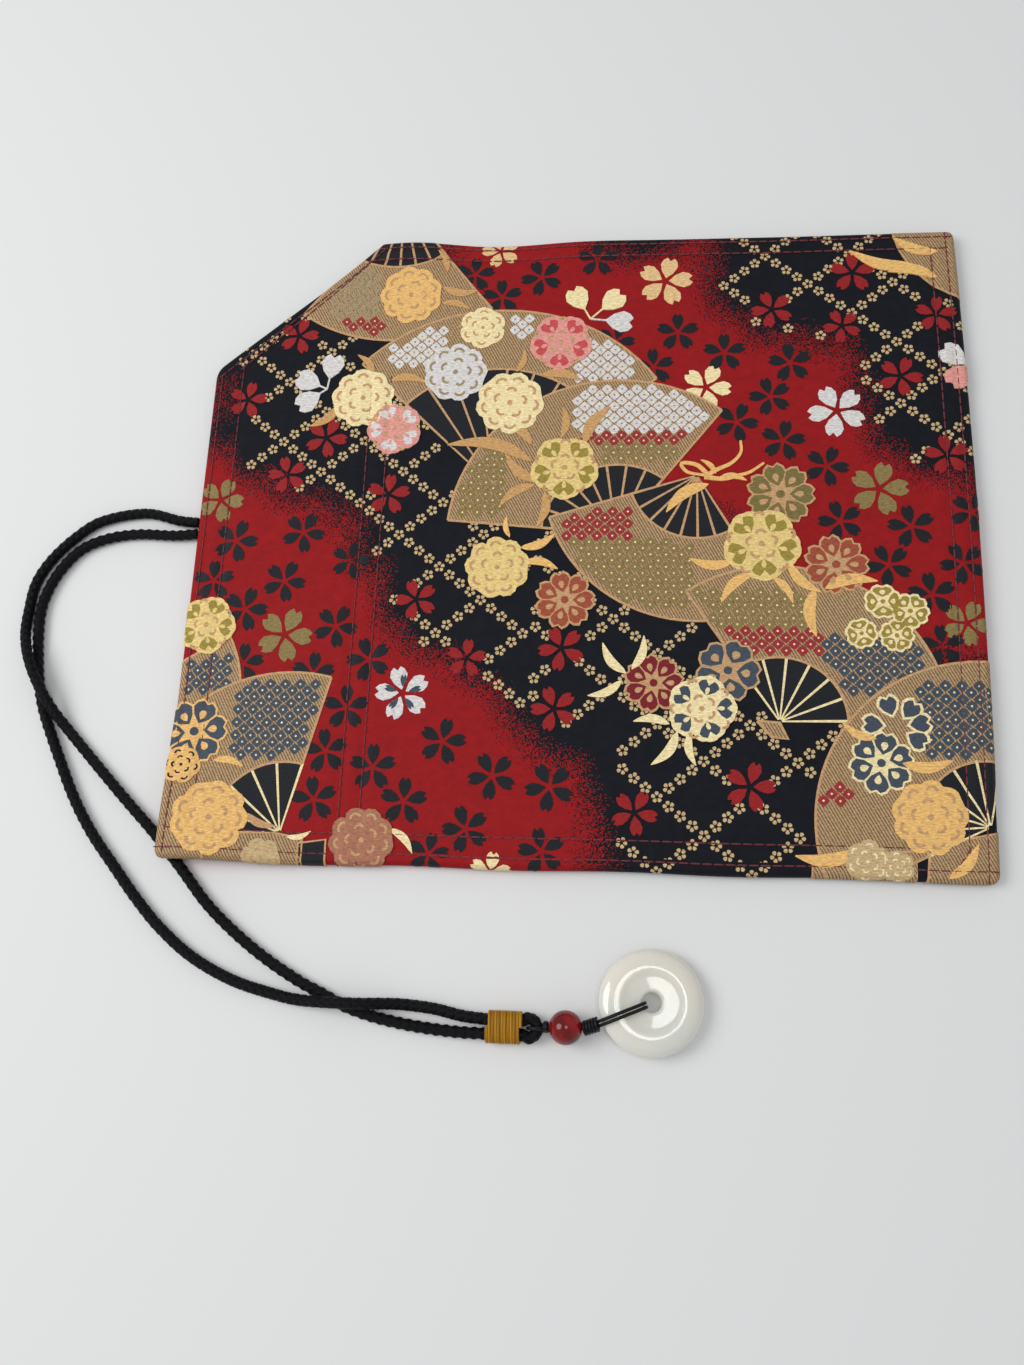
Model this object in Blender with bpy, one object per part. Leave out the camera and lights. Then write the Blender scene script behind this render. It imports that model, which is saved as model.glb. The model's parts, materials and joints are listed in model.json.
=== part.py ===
"""A brocade pen pouch, unrolled and lying flat with its outside up.

The cover is a woven sheet with one corner cut away. Its edges roll under a felt
padding, a lining and a panel of four pen pockets. A loop of braided cord is sewn
into its left edge. A silk binding, a carnelian bead, a knot and a jade ring hang
on the loop.

Sizes and places are in millimetres and angles in degrees. The frame has its
origin under the middle of the pouch, +X along the near edge, +Y away from it
and +Z up. Run with blender --background --python part.py.
"""

import math

import bmesh
import bpy
from mathutils import Matrix, Vector
from mathutils.geometry import delaunay_2d_cdt

MM = 0.001

# Clearance between touching pieces
GAP = 0.3

# Pouch outline
WIDTH = 206.0
DEPTH = 178.0
CHAMFER_SIDE = 39.5
CHAMFER_FAR = 45.5
CORNER_R = 2.5
CHAMFER_R = 6.0
CORNER_STEPS = 4
EDGE_STEP = 16.0

# Cloth layers, from the table up
COVER_T = 0.5
HEM_W = 9.0
POCKET_T = 0.4
LINING_T = 0.3
PADDING_T = 1.1
FOOT_CLEARANCE = 0.1

# Pen pockets
POCKET_COUNT = 4
POCKET_HEIGHT = 136.0
PANEL_SEAM_FROM_LEFT = 45.6
PANEL_SEAM_ROWS = 5.4
PANEL_SEAM_MARGIN = 2.5
PANEL_UNDER_HEM = 6.0
POCKET_SEAM_W = 2.0
POCKET_SLOPE = 3.0

# Braided cord and what holds its loop
CORD_D = 3.0
CORD_EXIT_Y = 1.55
CORD_STEP = 7.0
BINDING_AT = (-18.1, -126.1)
BINDING_LENGTH = 8.9
BINDING_T = 0.4
BINDING_TURNS = 11
BIGHT_GAP = 1.5
BIGHT_RISE = 0.6
BIGHT_NECK = 1.25

# Waxed thread, bead, knot and ring
THREAD_D = 0.8
PLY_PITCH = 1.0
THREAD_SEAT = 0.45
BEAD_D = 8.0
BEAD_CLEARANCE = 0.05
BORE_CLEARANCE = 0.25
KNOT_D = 2.8
KNOT_LENGTH = 3.4
KNOT_TURNS = 4
KNOT_BEARING = 19.0
RING_D = 24.9
RING_HOLE_D = 4.7
RING_T = 5.0
RING_FLAT_D = 16.0
RING_HOLE_ROUND = 0.8
RING_TILT = 6.0
RING_BEARING = 203.0

# Heights that follow from the layers
PANEL_Z = COVER_T + GAP
LINING_Z = PANEL_Z + POCKET_T + GAP
PADDING_Z = LINING_Z + LINING_T + GAP
COVER_Z = PADDING_Z + PADDING_T + GAP
THICKNESS = COVER_Z + COVER_T
EDGE_R = THICKNESS / 2

# The near left corner lies on the cord and lifts along a straight fold
FOLD_POINT = (-105.7, -82.1)
FOLD_DIRECTION = -47.0
FOLD_START = 1.2
FOLD_LENGTH = 27.0
FOLD_STEPS = 6
LIFT = CORD_D + GAP

# Route of the cord: from the upper hole in the edge to the binding
FLAT_Z = CORD_D / 2
OVER_Z = FLAT_Z + CORD_D + GAP
UPPER_STRAND = [
    (-109.0, 3.9, 1.8),
    (-119.0, 6.2, FLAT_Z),
    (-131.0, 4.0, FLAT_Z),
    (-138.3, -1.0, FLAT_Z),
    (-144.4, -7.8, FLAT_Z),
    (-147.8, -14.8, FLAT_Z),
    (-148.6, -22.8, FLAT_Z),
    (-147.8, -29.0, 2.9),
    (-145.7, -34.8, 4.5),
    (-143.2, -40.3, OVER_Z),
    (-140.0, -45.8, 4.5),
    (-136.6, -50.8, 3.1),
    (-131.6, -56.5, FLAT_Z),
    (-122.3, -65.9, FLAT_Z),
    (-113.9, -74.2, FLAT_Z),
    (-105.7, -82.1, FLAT_Z),
    (-97.5, -90.9, FLAT_Z),
    (-89.9, -99.4, FLAT_Z),
    (-81.9, -106.3, FLAT_Z),
    (-73.4, -112.3, FLAT_Z),
    (-64.7, -117.3, FLAT_Z),
    (-58.8, -120.0, FLAT_Z),
    (-52.5, -122.9, FLAT_Z),
    (-45.4, -125.0, FLAT_Z),
    (-37.9, -126.4, FLAT_Z),
    (-30.3, -127.3, FLAT_Z),
    (-24.0, -127.7, 1.9),
]

# Route of the cord: from the lower hole in the edge to the binding
LOWER_STRAND = [
    (-110.0, -0.5, 1.8),
    (-120.3, 0.0, FLAT_Z),
    (-129.0, -1.3, FLAT_Z),
    (-136.2, -4.6, FLAT_Z),
    (-141.4, -10.8, FLAT_Z),
    (-144.2, -17.2, FLAT_Z),
    (-145.2, -23.0, FLAT_Z),
    (-144.8, -30.0, FLAT_Z),
    (-143.9, -36.0, FLAT_Z),
    (-143.0, -41.0, FLAT_Z),
    (-141.4, -46.8, FLAT_Z),
    (-139.2, -52.5, FLAT_Z),
    (-134.0, -63.0, FLAT_Z),
    (-128.4, -73.5, FLAT_Z),
    (-122.4, -82.4, FLAT_Z),
    (-115.2, -90.9, FLAT_Z),
    (-108.1, -99.0, FLAT_Z),
    (-101.0, -106.0, FLAT_Z),
    (-92.0, -112.7, FLAT_Z),
    (-81.0, -117.9, FLAT_Z),
    (-69.2, -121.0, FLAT_Z),
    (-64.0, -121.8, 2.4),
    (-60.0, -122.0, 3.9),
    (-54.5, -122.1, OVER_Z),
    (-48.5, -122.1, 4.4),
    (-43.5, -121.9, 2.9),
    (-38.1, -121.9, FLAT_Z),
    (-30.6, -122.6, FLAT_Z),
    (-24.0, -123.9, 1.9),
]

# Woven print on the cover: dark fields, by their corners
DARK_FIELDS = [
    [
        (2, 92), (8, 84), (25, 84), (33, 80), (37, 70), (40, 62), (50, 58), (62, 57), (70, 50),
        (75, 42), (80, 34), (78, 27), (82, 22), (92, 17), (106, 15), (106, 92),
    ],
    [
        (-106, 21), (-95, 16), (-78, 9), (-67, 5), (-58, -6), (-51, -17), (-44, -28), (-36, -36),
        (-24, -40), (-18, -49), (-8, -57), (1, -66), (5, -77), (8, -92), (63, -92), (63, -68),
        (75, -48), (88, -40), (60, -20), (38, -8), (38, 3), (20, 11), (0, 30), (-45, 55),
        (-76, 71), (-106, 48),
    ],
]

# Fans: pivot x, y, outer radius, inner radius, first angle, last angle
FANS = [
    (-52.0, 101.0, 43.5, 20.5, 232, 309),
    (-22.0, 13.0, 53.5, 34.0, 36, 136),
    (11.0, -1.0, 45.0, 19.8, 52, 175),
    (32.0, 15.5, 40.5, 17.8, 197, 300),
    (52.0, -51.0, 41.0, 17.0, 8, 122),
    (-118.0, -46.0, 32.0, 12.0, -10, 30),
    (-72.0, -81.5, 41.7, 18.0, 76, 180),
    (101.0, -76.0, 40.0, 16.0, 85, 200),
    (112.0, 92.0, 26.0, 8.0, 190, 250),
]

# Blossoms of five petals: x, y, radius, colour
BLOSSOMS = [
    (-20, 71, 6, "dark"), (-32, 79, 6, "dark"), (-11, 77, 6.5, "dark"), (27, 58, 6.5, "dark"),
    (20, 48, 6.5, "dark"), (39.5, 51.5, 6.5, "dark"), (57, 47.5, 6.5, "dark"),
    (52, 37.5, 6.5, "dark"), (42, 30, 6.5, "dark"), (54.5, 25, 7, "dark"), (65, 18, 6.5, "dark"),
    (69, 2.5, 6.5, "dark"), (85, 1, 7, "dark"), (81, -10, 6.5, "dark"), (97.5, -9, 6.5, "dark"),
    (90, -17.5, 7, "dark"), (-90.5, -3, 7, "dark"), (-72.5, 0, 7, "dark"),
    (-59.5, -9, 6.5, "dark"), (-96, -14.5, 6.5, "dark"), (-77, -14.5, 7, "dark"),
    (-86.5, -22, 7, "dark"), (-62, -27, 7, "dark"), (-52, -35.5, 7, "dark"),
    (-57.5, -49, 7, "dark"), (-62.5, -60.5, 7, "dark"), (-49.5, -64.5, 7, "dark"),
    (-64, -73.5, 7, "dark"), (-41, -73, 7, "dark"), (-32.5, -57.5, 7, "dark"),
    (-18.5, -65.5, 7, "dark"), (-5, -68.5, 7, "dark"), (-24.5, -79.5, 7, "dark"),
    (-80.5, 60, 6.5, "red"), (-92.5, 41, 6.5, "red"), (53, 65.5, 6.5, "red"),
    (75.5, 76, 7, "red"), (96, 63.5, 6.5, "red"), (84.5, 43.5, 6.5, "red"),
    (-69, 26, 7, "red"), (-80, 15.5, 6.5, "red"), (-51, 10.5, 6.5, "red"),
    (-41, -19.5, 6.5, "red"), (-2.5, -32, 7, "red"), (-4, -48.5, 7, "red"),
    (16, -74, 6.5, "red"), (44, -67, 7, "red"), (24, 74.5, 8, "cream"), (68.5, 34, 9, "cream"),
    (33.5, 41.5, 8, "cream"), (-75.5, -29.5, 7.5, "olive"), (78.5, 11.5, 8, "olive"),
    (-43.5, -45.5, 7.5, "cream"),
]

# Round flowers with a scalloped edge: x, y, radius, colour
ROSETTES = [
    (-48, 71, 9.5, "gold"), (-60, 39, 9, "cream"), (-51, 30, 7, "pink"), (-36, 48, 9, "cream"),
    (-20, 37.5, 10.5, "cream"), (-26, 60.5, 6, "cream"), (-4.5, 56.5, 9, "pink"),
    (-2, 18, 10.5, "gold"), (-20, -11, 8.5, "gold"), (-2.5, -19.5, 7.5, "rust"),
    (53.5, 10.5, 9.5, "olive"), (48, -3, 10, "gold"), (67, -9.5, 8, "rust"),
    (22, -41.5, 7.5, "rust"), (40, -37, 9, "blue"), (33, -49, 8.5, "cream"),
    (-91, -78, 10, "gold"), (87, -74, 9.5, "gold"), (-53, -80, 8, "pink"), (-95, -28, 7, "gold"),
]
PETALS = 5
PETAL_WAIST = 0.42
PETAL_NOTCH = 0.8
SCALLOPS = 7
SCALLOP_WAIST = 0.87
FAN_STEP = 12.0
PRINT_MARGIN = 0.1

COLOURS = {
    "red": (0.36, 0.012, 0.012),
    "dark": (0.012, 0.012, 0.016),
    "leaf": (0.42, 0.27, 0.14),
    "gold": (0.75, 0.48, 0.16),
    "cream": (0.80, 0.66, 0.42),
    "pink": (0.70, 0.28, 0.22),
    "olive": (0.22, 0.19, 0.05),
    "blue": (0.06, 0.09, 0.14),
    "rust": (0.30, 0.07, 0.03),
}


def material(name, colour, roughness=0.8, metallic=0.0):
    """A Principled material with one colour."""
    made = bpy.data.materials.get(name) or bpy.data.materials.new(name)
    made.use_nodes = True
    shader = made.node_tree.nodes["Principled BSDF"]
    shader.inputs["Base Color"].default_value = (*colour, 1.0)
    shader.inputs["Roughness"].default_value = roughness
    shader.inputs["Metallic"].default_value = metallic
    made.diffuse_color = (*colour, 1.0)
    return made


def mesh_object(name, bm, materials):
    """Turn a bmesh in millimetres into an object in metres."""
    bmesh.ops.remove_doubles(bm, verts=bm.verts, dist=1e-4)
    bmesh.ops.recalc_face_normals(bm, faces=bm.faces)
    bmesh.ops.scale(bm, vec=(MM, MM, MM), verts=bm.verts)
    mesh = bpy.data.meshes.new(name)
    bm.to_mesh(mesh)
    bm.free()
    for item in materials:
        mesh.materials.append(item)
    made = bpy.data.objects.new(name, mesh)
    bpy.context.scene.collection.objects.link(made)
    return made


def smooth_shading(made, angle=40.0):
    """Shade a round piece smooth, with its edges kept sharp."""
    made.data.shade_smooth()
    made.data.set_sharp_from_angle(angle=math.radians(angle))


def outline(inset):
    """The pouch's outline, counterclockwise, drawn in by inset."""
    x, y = WIDTH / 2, DEPTH / 2
    corners = [
        (Vector((-x, -y)), CORNER_R),
        (Vector((x, -y)), CORNER_R),
        (Vector((x, y)), CORNER_R),
        (Vector((-x + CHAMFER_FAR, y)), CHAMFER_R),
        (Vector((-x, y - CHAMFER_SIDE)), CHAMFER_R),
    ]
    points = []
    for index, (corner, radius) in enumerate(corners):
        before = corners[index - 1][0]
        after = corners[(index + 1) % len(corners)][0]
        way_in = (corner - before).normalized()
        way_out = (after - corner).normalized()
        turn = way_in.angle(way_out)
        radius = max(radius - inset, 0.05)
        moved = corner + (way_out - way_in) * inset / math.sin(turn)
        centre = moved + (way_out - way_in) * radius / math.sin(turn)
        side = Vector((way_in.y, -way_in.x)) * radius
        for step in range(CORNER_STEPS + 1):
            angle = turn * step / CORNER_STEPS
            points.append(centre + Matrix.Rotation(angle, 2) @ side)
        reach = (after - corner).length
        for step in range(1, math.ceil(reach / EDGE_STEP)):
            share = step / math.ceil(reach / EDGE_STEP)
            along = corner.lerp(after, share)
            points.append(along + Vector((-way_out.y, way_out.x)) * inset)
    return points


def ring_of_verts(bm, points, z):
    """Vertices for one closed loop at height z."""
    return [bm.verts.new((p.x, p.y, z)) for p in points]


def bridge(bm, lower, upper):
    """Quads between two loops of the same length."""
    made = []
    for index in range(len(lower)):
        after = (index + 1) % len(lower)
        made.append(bm.faces.new((lower[index], lower[after], upper[after], upper[index])))
    return made


def fold_distance(x, y):
    """How far a place lies from the cord's line, towards the pouch."""
    angle = math.radians(FOLD_DIRECTION)
    return -(x - FOLD_POINT[0]) * math.sin(angle) + (y - FOLD_POINT[1]) * math.cos(angle)


def lift_at(x, y):
    """The height that the cord under the near left corner adds."""
    share = (fold_distance(x, y) - FOLD_START) / FOLD_LENGTH
    share = min(max(share, 0.0), 1.0)
    return LIFT * (1.0 - share * share * (3.0 - 2.0 * share))


def lift_corner(bm):
    """Cut the layer along the fold's lines and raise its corner."""
    angle = math.radians(FOLD_DIRECTION)
    across = Vector((-math.sin(angle), math.cos(angle), 0.0))
    for step in range(FOLD_STEPS + 1):
        reach = FOLD_START + FOLD_LENGTH * step / FOLD_STEPS
        place = Vector((*FOLD_POINT, 0.0)) + across * reach
        bmesh.ops.bisect_plane(
            bm, geom=[*bm.verts, *bm.edges, *bm.faces], plane_co=place, plane_no=across
        )
    for vert in bm.verts:
        vert.co.z += lift_at(vert.co.x, vert.co.y)


def clipped(shape, border):
    """The part of a shape that lies inside a convex border."""
    points = [Vector(p) for p in shape]
    for index, end in enumerate(border):
        start = border[index - 1]
        edge = end - start
        kept = []
        for number, point in enumerate(points):
            before = points[number - 1]
            inside = edge.cross(point - start) > 0
            was_inside = edge.cross(before - start) > 0
            if inside != was_inside:
                step = point - before
                share = edge.cross(start - before) / edge.cross(step)
                kept.append(before + step * share)
            if inside:
                kept.append(point)
        points = kept
        if len(points) < 3:
            return []
    return points


def arc(x, y, radius, first, last):
    """Points on an arc, from one angle to another."""
    steps = max(2, math.ceil(abs(last - first) / FAN_STEP))
    angles = [math.radians(first + (last - first) * i / steps) for i in range(steps + 1)]
    return [(x + radius * math.cos(a), y + radius * math.sin(a)) for a in angles]


def lobed(x, y, radius, lobes, waist, notch):
    """A flower outline: lobes with a waist between and a notch in each tip."""
    shares = (waist, 1.0, notch, 1.0)
    points = []
    for index in range(lobes * len(shares)):
        angle = 2 * math.pi * (index - 2) / (lobes * len(shares)) + math.pi / 2
        reach = radius * shares[index % len(shares)]
        points.append((x + reach * math.cos(angle), y + reach * math.sin(angle)))
    return points


def scalloped(x, y, radius):
    """A round flower outline with shallow waists."""
    points = []
    for index in range(2 * SCALLOPS):
        angle = math.pi * index / SCALLOPS
        reach = radius * (1.0, SCALLOP_WAIST)[index % 2]
        points.append((x + reach * math.cos(angle), y + reach * math.sin(angle)))
    return points


def print_shapes():
    """Every shape of the print with its colour, the lowest first."""
    shapes = [("dark", field) for field in DARK_FIELDS]
    for x, y, outer, inner, first, last in FANS:
        shapes.append(("dark", [(x, y), *arc(x, y, inner, first, last)]))
        leaf = arc(x, y, outer, first, last) + arc(x, y, inner, last, first)
        shapes.append(("leaf", leaf))
    for x, y, radius, colour in BLOSSOMS:
        shapes.append((colour, lobed(x, y, radius, PETALS, PETAL_WAIST, PETAL_NOTCH)))
    for x, y, radius, colour in ROSETTES:
        shapes.append((colour, scalloped(x, y, radius)))
    return shapes


def printed_top(bm, border, z):
    """The cover's flat top, cut along the print, each field in its colour."""
    colours = ["red"]
    coords = list(border)
    faces = [list(range(len(border)))]
    inner = outline(EDGE_R + PRINT_MARGIN)
    for colour, shape in print_shapes():
        shape = clipped(shape, inner)
        if shape:
            faces.append(list(range(len(coords), len(coords) + len(shape))))
            coords += shape
            colours.append(colour)
    verts, _, tris, _, _, sources = delaunay_2d_cdt(coords, [], faces, 1, 1e-5)
    made = [bm.verts.new((v.x, v.y, z)) for v in verts]
    for tri, source in zip(tris, sources):
        face = bm.faces.new([made[i] for i in tri])
        face.material_index = list(COLOURS).index(colours[max(source)])


def nose(inset, z_low, z_high, steps=6):
    """A half round edge from its lower end to its upper end."""
    radius = (z_high - z_low) / 2
    middle = (z_high + z_low) / 2
    loops = []
    for step in range(steps + 1):
        angle = math.pi * (step / steps - 0.5)
        loops.append((inset + radius * (1 - math.cos(angle)), middle + radius * math.sin(angle)))
    return loops


def outer_cover():
    """The brocade: printed top, rolled edge and the hem turned under."""
    bm = bmesh.new()
    outside = [(HEM_W, 0.0), *nose(0.0, 0.0, THICKNESS)]
    inside = [(HEM_W, COVER_T), *nose(COVER_T, COVER_T, COVER_Z)]
    outer_loops = [ring_of_verts(bm, outline(i), z) for i, z in outside]
    inner_loops = [ring_of_verts(bm, outline(i), z) for i, z in inside]
    names = list(COLOURS)
    for lower, upper in zip(outer_loops, outer_loops[1:]):
        for face in bridge(bm, lower, upper):
            middle = face.calc_center_median()
            face.material_index = names.index(colour_at(middle.x, middle.y))
    for lower, upper in zip(inner_loops, inner_loops[1:]):
        bridge(bm, upper, lower)
    bridge(bm, inner_loops[0], outer_loops[0])
    bm.faces.new(inner_loops[-1])
    printed_top(bm, outline(EDGE_R), THICKNESS)
    lift_corner(bm)
    materials = [material(f"brocade_{name}", COLOURS[name]) for name in names]
    return mesh_object("outer_cover", bm, materials)


def inside_shape(x, y, shape):
    """Whether a place lies inside a closed shape."""
    found = False
    for index, (x2, y2) in enumerate(shape):
        x1, y1 = shape[index - 1]
        if (y1 > y) != (y2 > y) and x < x1 + (y - y1) * (x2 - x1) / (y2 - y1):
            found = not found
    return found


def colour_at(x, y):
    """The print's colour at a place, for the rolled edge."""
    found = "red"
    for colour, shape in print_shapes():
        if inside_shape(x, y, shape):
            found = colour
    return found


def layer(name, inset, z, thickness, look):
    """A flat layer of cloth inside the cover."""
    bm = bmesh.new()
    lower = ring_of_verts(bm, outline(inset), z)
    upper = ring_of_verts(bm, outline(inset), z + thickness)
    bridge(bm, lower, upper)
    bm.faces.new(reversed(lower))
    bm.faces.new(upper)
    lift_corner(bm)
    return mesh_object(name, bm, [look])


def stepped(stations, low, high):
    """Places along one way of the panel, each with its height."""
    places = []
    for start, end in stations:
        places += [
            (start, high),
            (start + POCKET_SLOPE, low),
            (end - POCKET_SLOPE, low),
            (end, high),
        ]
    return places


def pocket_panel():
    """The panel under the lining: sewn down between its four open pockets."""
    left = -WIDTH / 2 + PANEL_SEAM_FROM_LEFT - PANEL_SEAM_MARGIN
    first = left + 2 * PANEL_SEAM_MARGIN + PANEL_SEAM_ROWS
    right = WIDTH / 2 - HEM_W + PANEL_UNDER_HEM
    last = WIDTH / 2 - HEM_W - GAP
    pitch = (last - first + POCKET_SEAM_W) / POCKET_COUNT
    pockets = [
        (first + i * pitch, first + (i + 1) * pitch - POCKET_SEAM_W) for i in range(POCKET_COUNT)
    ]
    xs = [(left, PANEL_Z), *stepped(pockets, FOOT_CLEARANCE, PANEL_Z), (right, PANEL_Z)]
    near = -DEPTH / 2 + HEM_W
    ys = [
        (near - PANEL_UNDER_HEM, PANEL_Z),
        (near + GAP, PANEL_Z),
        (near + GAP + POCKET_SLOPE, FOOT_CLEARANCE),
        (-DEPTH / 2 + POCKET_HEIGHT, FOOT_CLEARANCE),
    ]
    bm = bmesh.new()
    low = [[bm.verts.new((x, y, max(zx, zy))) for x, zx in xs] for y, zy in ys]
    high = [
        [bm.verts.new((x, y, max(zx, zy) + POCKET_T)) for x, zx in xs] for y, zy in ys
    ]
    for j in range(len(ys) - 1):
        for i in range(len(xs) - 1):
            bm.faces.new((low[j][i], low[j + 1][i], low[j + 1][i + 1], low[j][i + 1]))
            bm.faces.new((high[j][i], high[j][i + 1], high[j + 1][i + 1], high[j + 1][i]))
    rim_low = [*low[0], *[row[-1] for row in low[1:]]]
    rim_low += [*reversed(low[-1][:-1]), *[row[0] for row in reversed(low[1:-1])]]
    rim_high = [*high[0], *[row[-1] for row in high[1:]]]
    rim_high += [*reversed(high[-1][:-1]), *[row[0] for row in reversed(high[1:-1])]]
    bridge(bm, rim_low, rim_high)
    return mesh_object("pocket_panel", bm, [material("pocket_cotton", (0.05, 0.006, 0.008))])


def smooth_route(points, step):
    """Points every step or so on a smooth curve through the route."""
    points = [Vector(p) for p in points]
    ends = [2 * points[0] - points[1], *points, 2 * points[-1] - points[-2]]
    made = [points[0]]
    for i in range(1, len(ends) - 2):
        a, b, c, d = ends[i - 1 : i + 3]
        pieces = max(1, round((c - b).length / step))
        for k in range(1, pieces + 1):
            t = k / pieces
            made.append(
                0.5
                * (
                    2 * b
                    + (c - a) * t
                    + (2 * a - 5 * b + 4 * c - d) * t**2
                    + (3 * b - a - 3 * c + d) * t**3
                )
            )
    return made


def tube(name, routes, diameter, look):
    """A round cord along each route, with filled ends."""
    curve = bpy.data.curves.new(name, "CURVE")
    curve.dimensions = "3D"
    curve.bevel_depth = diameter / 2 * MM
    curve.bevel_resolution = 2
    curve.use_fill_caps = True
    for route in routes:
        spline = curve.splines.new("POLY")
        spline.points.add(len(route) - 1)
        for point, place in zip(spline.points, route):
            point.co = (*(place * MM), 1.0)
    curve.materials.append(look)
    made = bpy.data.objects.new(name, curve)
    bpy.context.scene.collection.objects.link(made)
    return made


def binding_height():
    """The height of the cord's middle inside the binding."""
    return BINDING_T + GAP + CORD_D / 2


def bight():
    """The cord's tight loop beyond the binding, from one strand to the other."""
    x, y = BINDING_AT
    z = binding_height()
    half = (CORD_D + GAP) / 2
    wide = (CORD_D + BIGHT_GAP) / 2
    end = x + BINDING_LENGTH
    centre = end + BIGHT_NECK
    side = [(x, y - half, z), (end - 0.2, y - half, z), (end + 0.5, y - 0.5 * (half + wide), z)]
    points = list(side)
    for step in range(9):
        angle = math.pi * (step / 8 - 0.5)
        rise = BIGHT_RISE * math.cos(angle)
        points.append(
            (centre + wide * math.cos(angle), y + wide * math.sin(angle), z + rise)
        )
    points += [(px, 2 * y - py, pz) for px, py, pz in reversed(side)]
    return [Vector(p) for p in points]


def nose_point():
    """The middle of the cord at the very end of its loop."""
    x, y = BINDING_AT
    reach = BINDING_LENGTH + BIGHT_NECK + (CORD_D + BIGHT_GAP) / 2
    return Vector((x + reach, y, binding_height() + BIGHT_RISE))


def braided_cord():
    """One cord: out of the edge, round its bight and back into the edge."""
    exit_x = -WIDTH / 2 - GAP
    pitch = (CORD_D + GAP) / 2
    start = (exit_x, CORD_EXIT_Y + pitch, THICKNESS / 2)
    finish = (exit_x, CORD_EXIT_Y - pitch, THICKNESS / 2)
    there = smooth_route([start, *UPPER_STRAND, bight()[0]], CORD_STEP)
    back = smooth_route([finish, *LOWER_STRAND, bight()[-1]], CORD_STEP)
    route = there[:-1] + bight() + back[-2::-1]
    return tube("braided_cord", [route], CORD_D, material("black_braid", (0.01, 0.01, 0.013)))


def cord_binding():
    """The silk thread wound round both strands, turn beside turn."""
    x, y = BINDING_AT
    z = binding_height()
    half = (CORD_D + GAP) / 2
    clear = CORD_D / 2 + GAP
    pitch = BINDING_LENGTH / BINDING_TURNS

    def loop(at, radius):
        points = []
        for index in range(20):
            angle = 2 * math.pi * (index + 0.5) / 20
            side = math.copysign(half, math.cos(angle))
            points.append(
                (at, y + side + radius * math.cos(angle), z + radius * math.sin(angle))
            )
        return points

    bm = bmesh.new()
    stations = [(x, clear), (x, clear + BINDING_T * 0.6)]
    for turn in range(BINDING_TURNS):
        stations.append((x + (turn + 0.5) * pitch, clear + BINDING_T))
        stations.append((x + (turn + 1) * pitch, clear + BINDING_T * 0.6))
    stations.append((x + BINDING_LENGTH, clear))
    loops = [[bm.verts.new(p) for p in loop(at, radius)] for at, radius in stations]
    for lower, upper in zip(loops, loops[1:] + loops[:1]):
        bridge(bm, lower, upper)
    return mesh_object("cord_binding", bm, [material("gold_silk", (0.62, 0.32, 0.02), 0.45)])


def bead_centre():
    """The middle of the bead: next to the bight, resting on the table."""
    tip = nose_point()
    reach = CORD_D / 2 + THREAD_D + 1.5 * GAP + BEAD_D / 2
    return Vector((tip.x + reach, tip.y + 0.5, BEAD_D / 2 + BEAD_CLEARANCE))


def spun(name, profile, steps, looks, closed):
    """A turned piece: the profile's radius and height, spun about Z."""
    bm = bmesh.new()
    verts = [bm.verts.new((radius, 0.0, height)) for radius, height in profile]
    edges = [bm.edges.new(pair) for pair in zip(verts, verts[1:])]
    if closed:
        edges.append(bm.edges.new((verts[-1], verts[0])))
    bmesh.ops.spin(
        bm,
        geom=[*verts, *edges],
        angle=2 * math.pi,
        steps=steps,
        axis=(0, 0, 1),
        cent=(0, 0, 0),
        use_merge=True,
    )
    made = mesh_object(name, bm, looks)
    smooth_shading(made)
    return made


def place(made, centre, direction):
    """Stand a turned piece on its centre with its axis along a direction."""
    made.rotation_mode = "QUATERNION"
    made.rotation_quaternion = Vector((0, 0, 1)).rotation_difference(direction)
    made.location = centre * MM
    return made


def carnelian_bead():
    """A ball with a bore for both plies of the thread."""
    bore = PLY_PITCH / 2 + THREAD_D / 2 + BORE_CLEARANCE
    radius = BEAD_D / 2
    edge = math.degrees(math.acos(bore / radius))
    profile = arc(0.0, 0.0, radius, -edge, edge)
    made = spun("carnelian_bead", profile, 24, [material("carnelian", (0.35, 0.01, 0.01), 0.1)], True)
    return place(made, bead_centre(), Vector((1, 0, 0)))


def ring_height():
    """The height of the tilted ring's middle, its far rim on the table."""
    tilt = math.radians(RING_TILT)
    flat = RING_FLAT_D / 2
    rim = RING_D / 2 - flat
    drop = math.hypot(rim * math.sin(tilt), RING_T / 2 * math.cos(tilt))
    return flat * math.sin(tilt) + drop + BEAD_CLEARANCE


def ring_frame():
    """The ring's middle, its direction to the knot and its axis."""
    bearing = math.radians(RING_BEARING)
    tilt = math.radians(RING_TILT)
    level = Vector((math.cos(bearing), math.sin(bearing), 0))
    towards = level * math.cos(tilt) + Vector((0, 0, math.sin(tilt)))
    axis = Vector((0, 0, math.cos(tilt))) - level * math.sin(tilt)
    start = knot_start()
    reach = RING_D / 2 + knot_stand_off()
    flat_reach = reach * math.cos(tilt)
    rise = ring_height() + reach * math.sin(tilt) - start.z
    run = math.sqrt(KNOT_LENGTH**2 - rise**2)
    way = math.radians(KNOT_BEARING)
    middle = start + Vector((run * math.cos(way), run * math.sin(way), 0))
    middle -= level * flat_reach
    middle.z = ring_height()
    return middle, towards, axis


def knot_stand_off():
    """How far the knot's face stays from the ring's rim."""
    return THREAD_D + GAP * 1.5


def knot_start():
    """Where the knot's face meets the thread that leaves the bead."""
    return bead_centre() + Vector((BEAD_D / 2 + GAP, 0, 0))


def knot_end():
    """Where the knot's other face meets the thread round the ring."""
    middle, towards, _ = ring_frame()
    return middle + towards * (RING_D / 2 + knot_stand_off())


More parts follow.
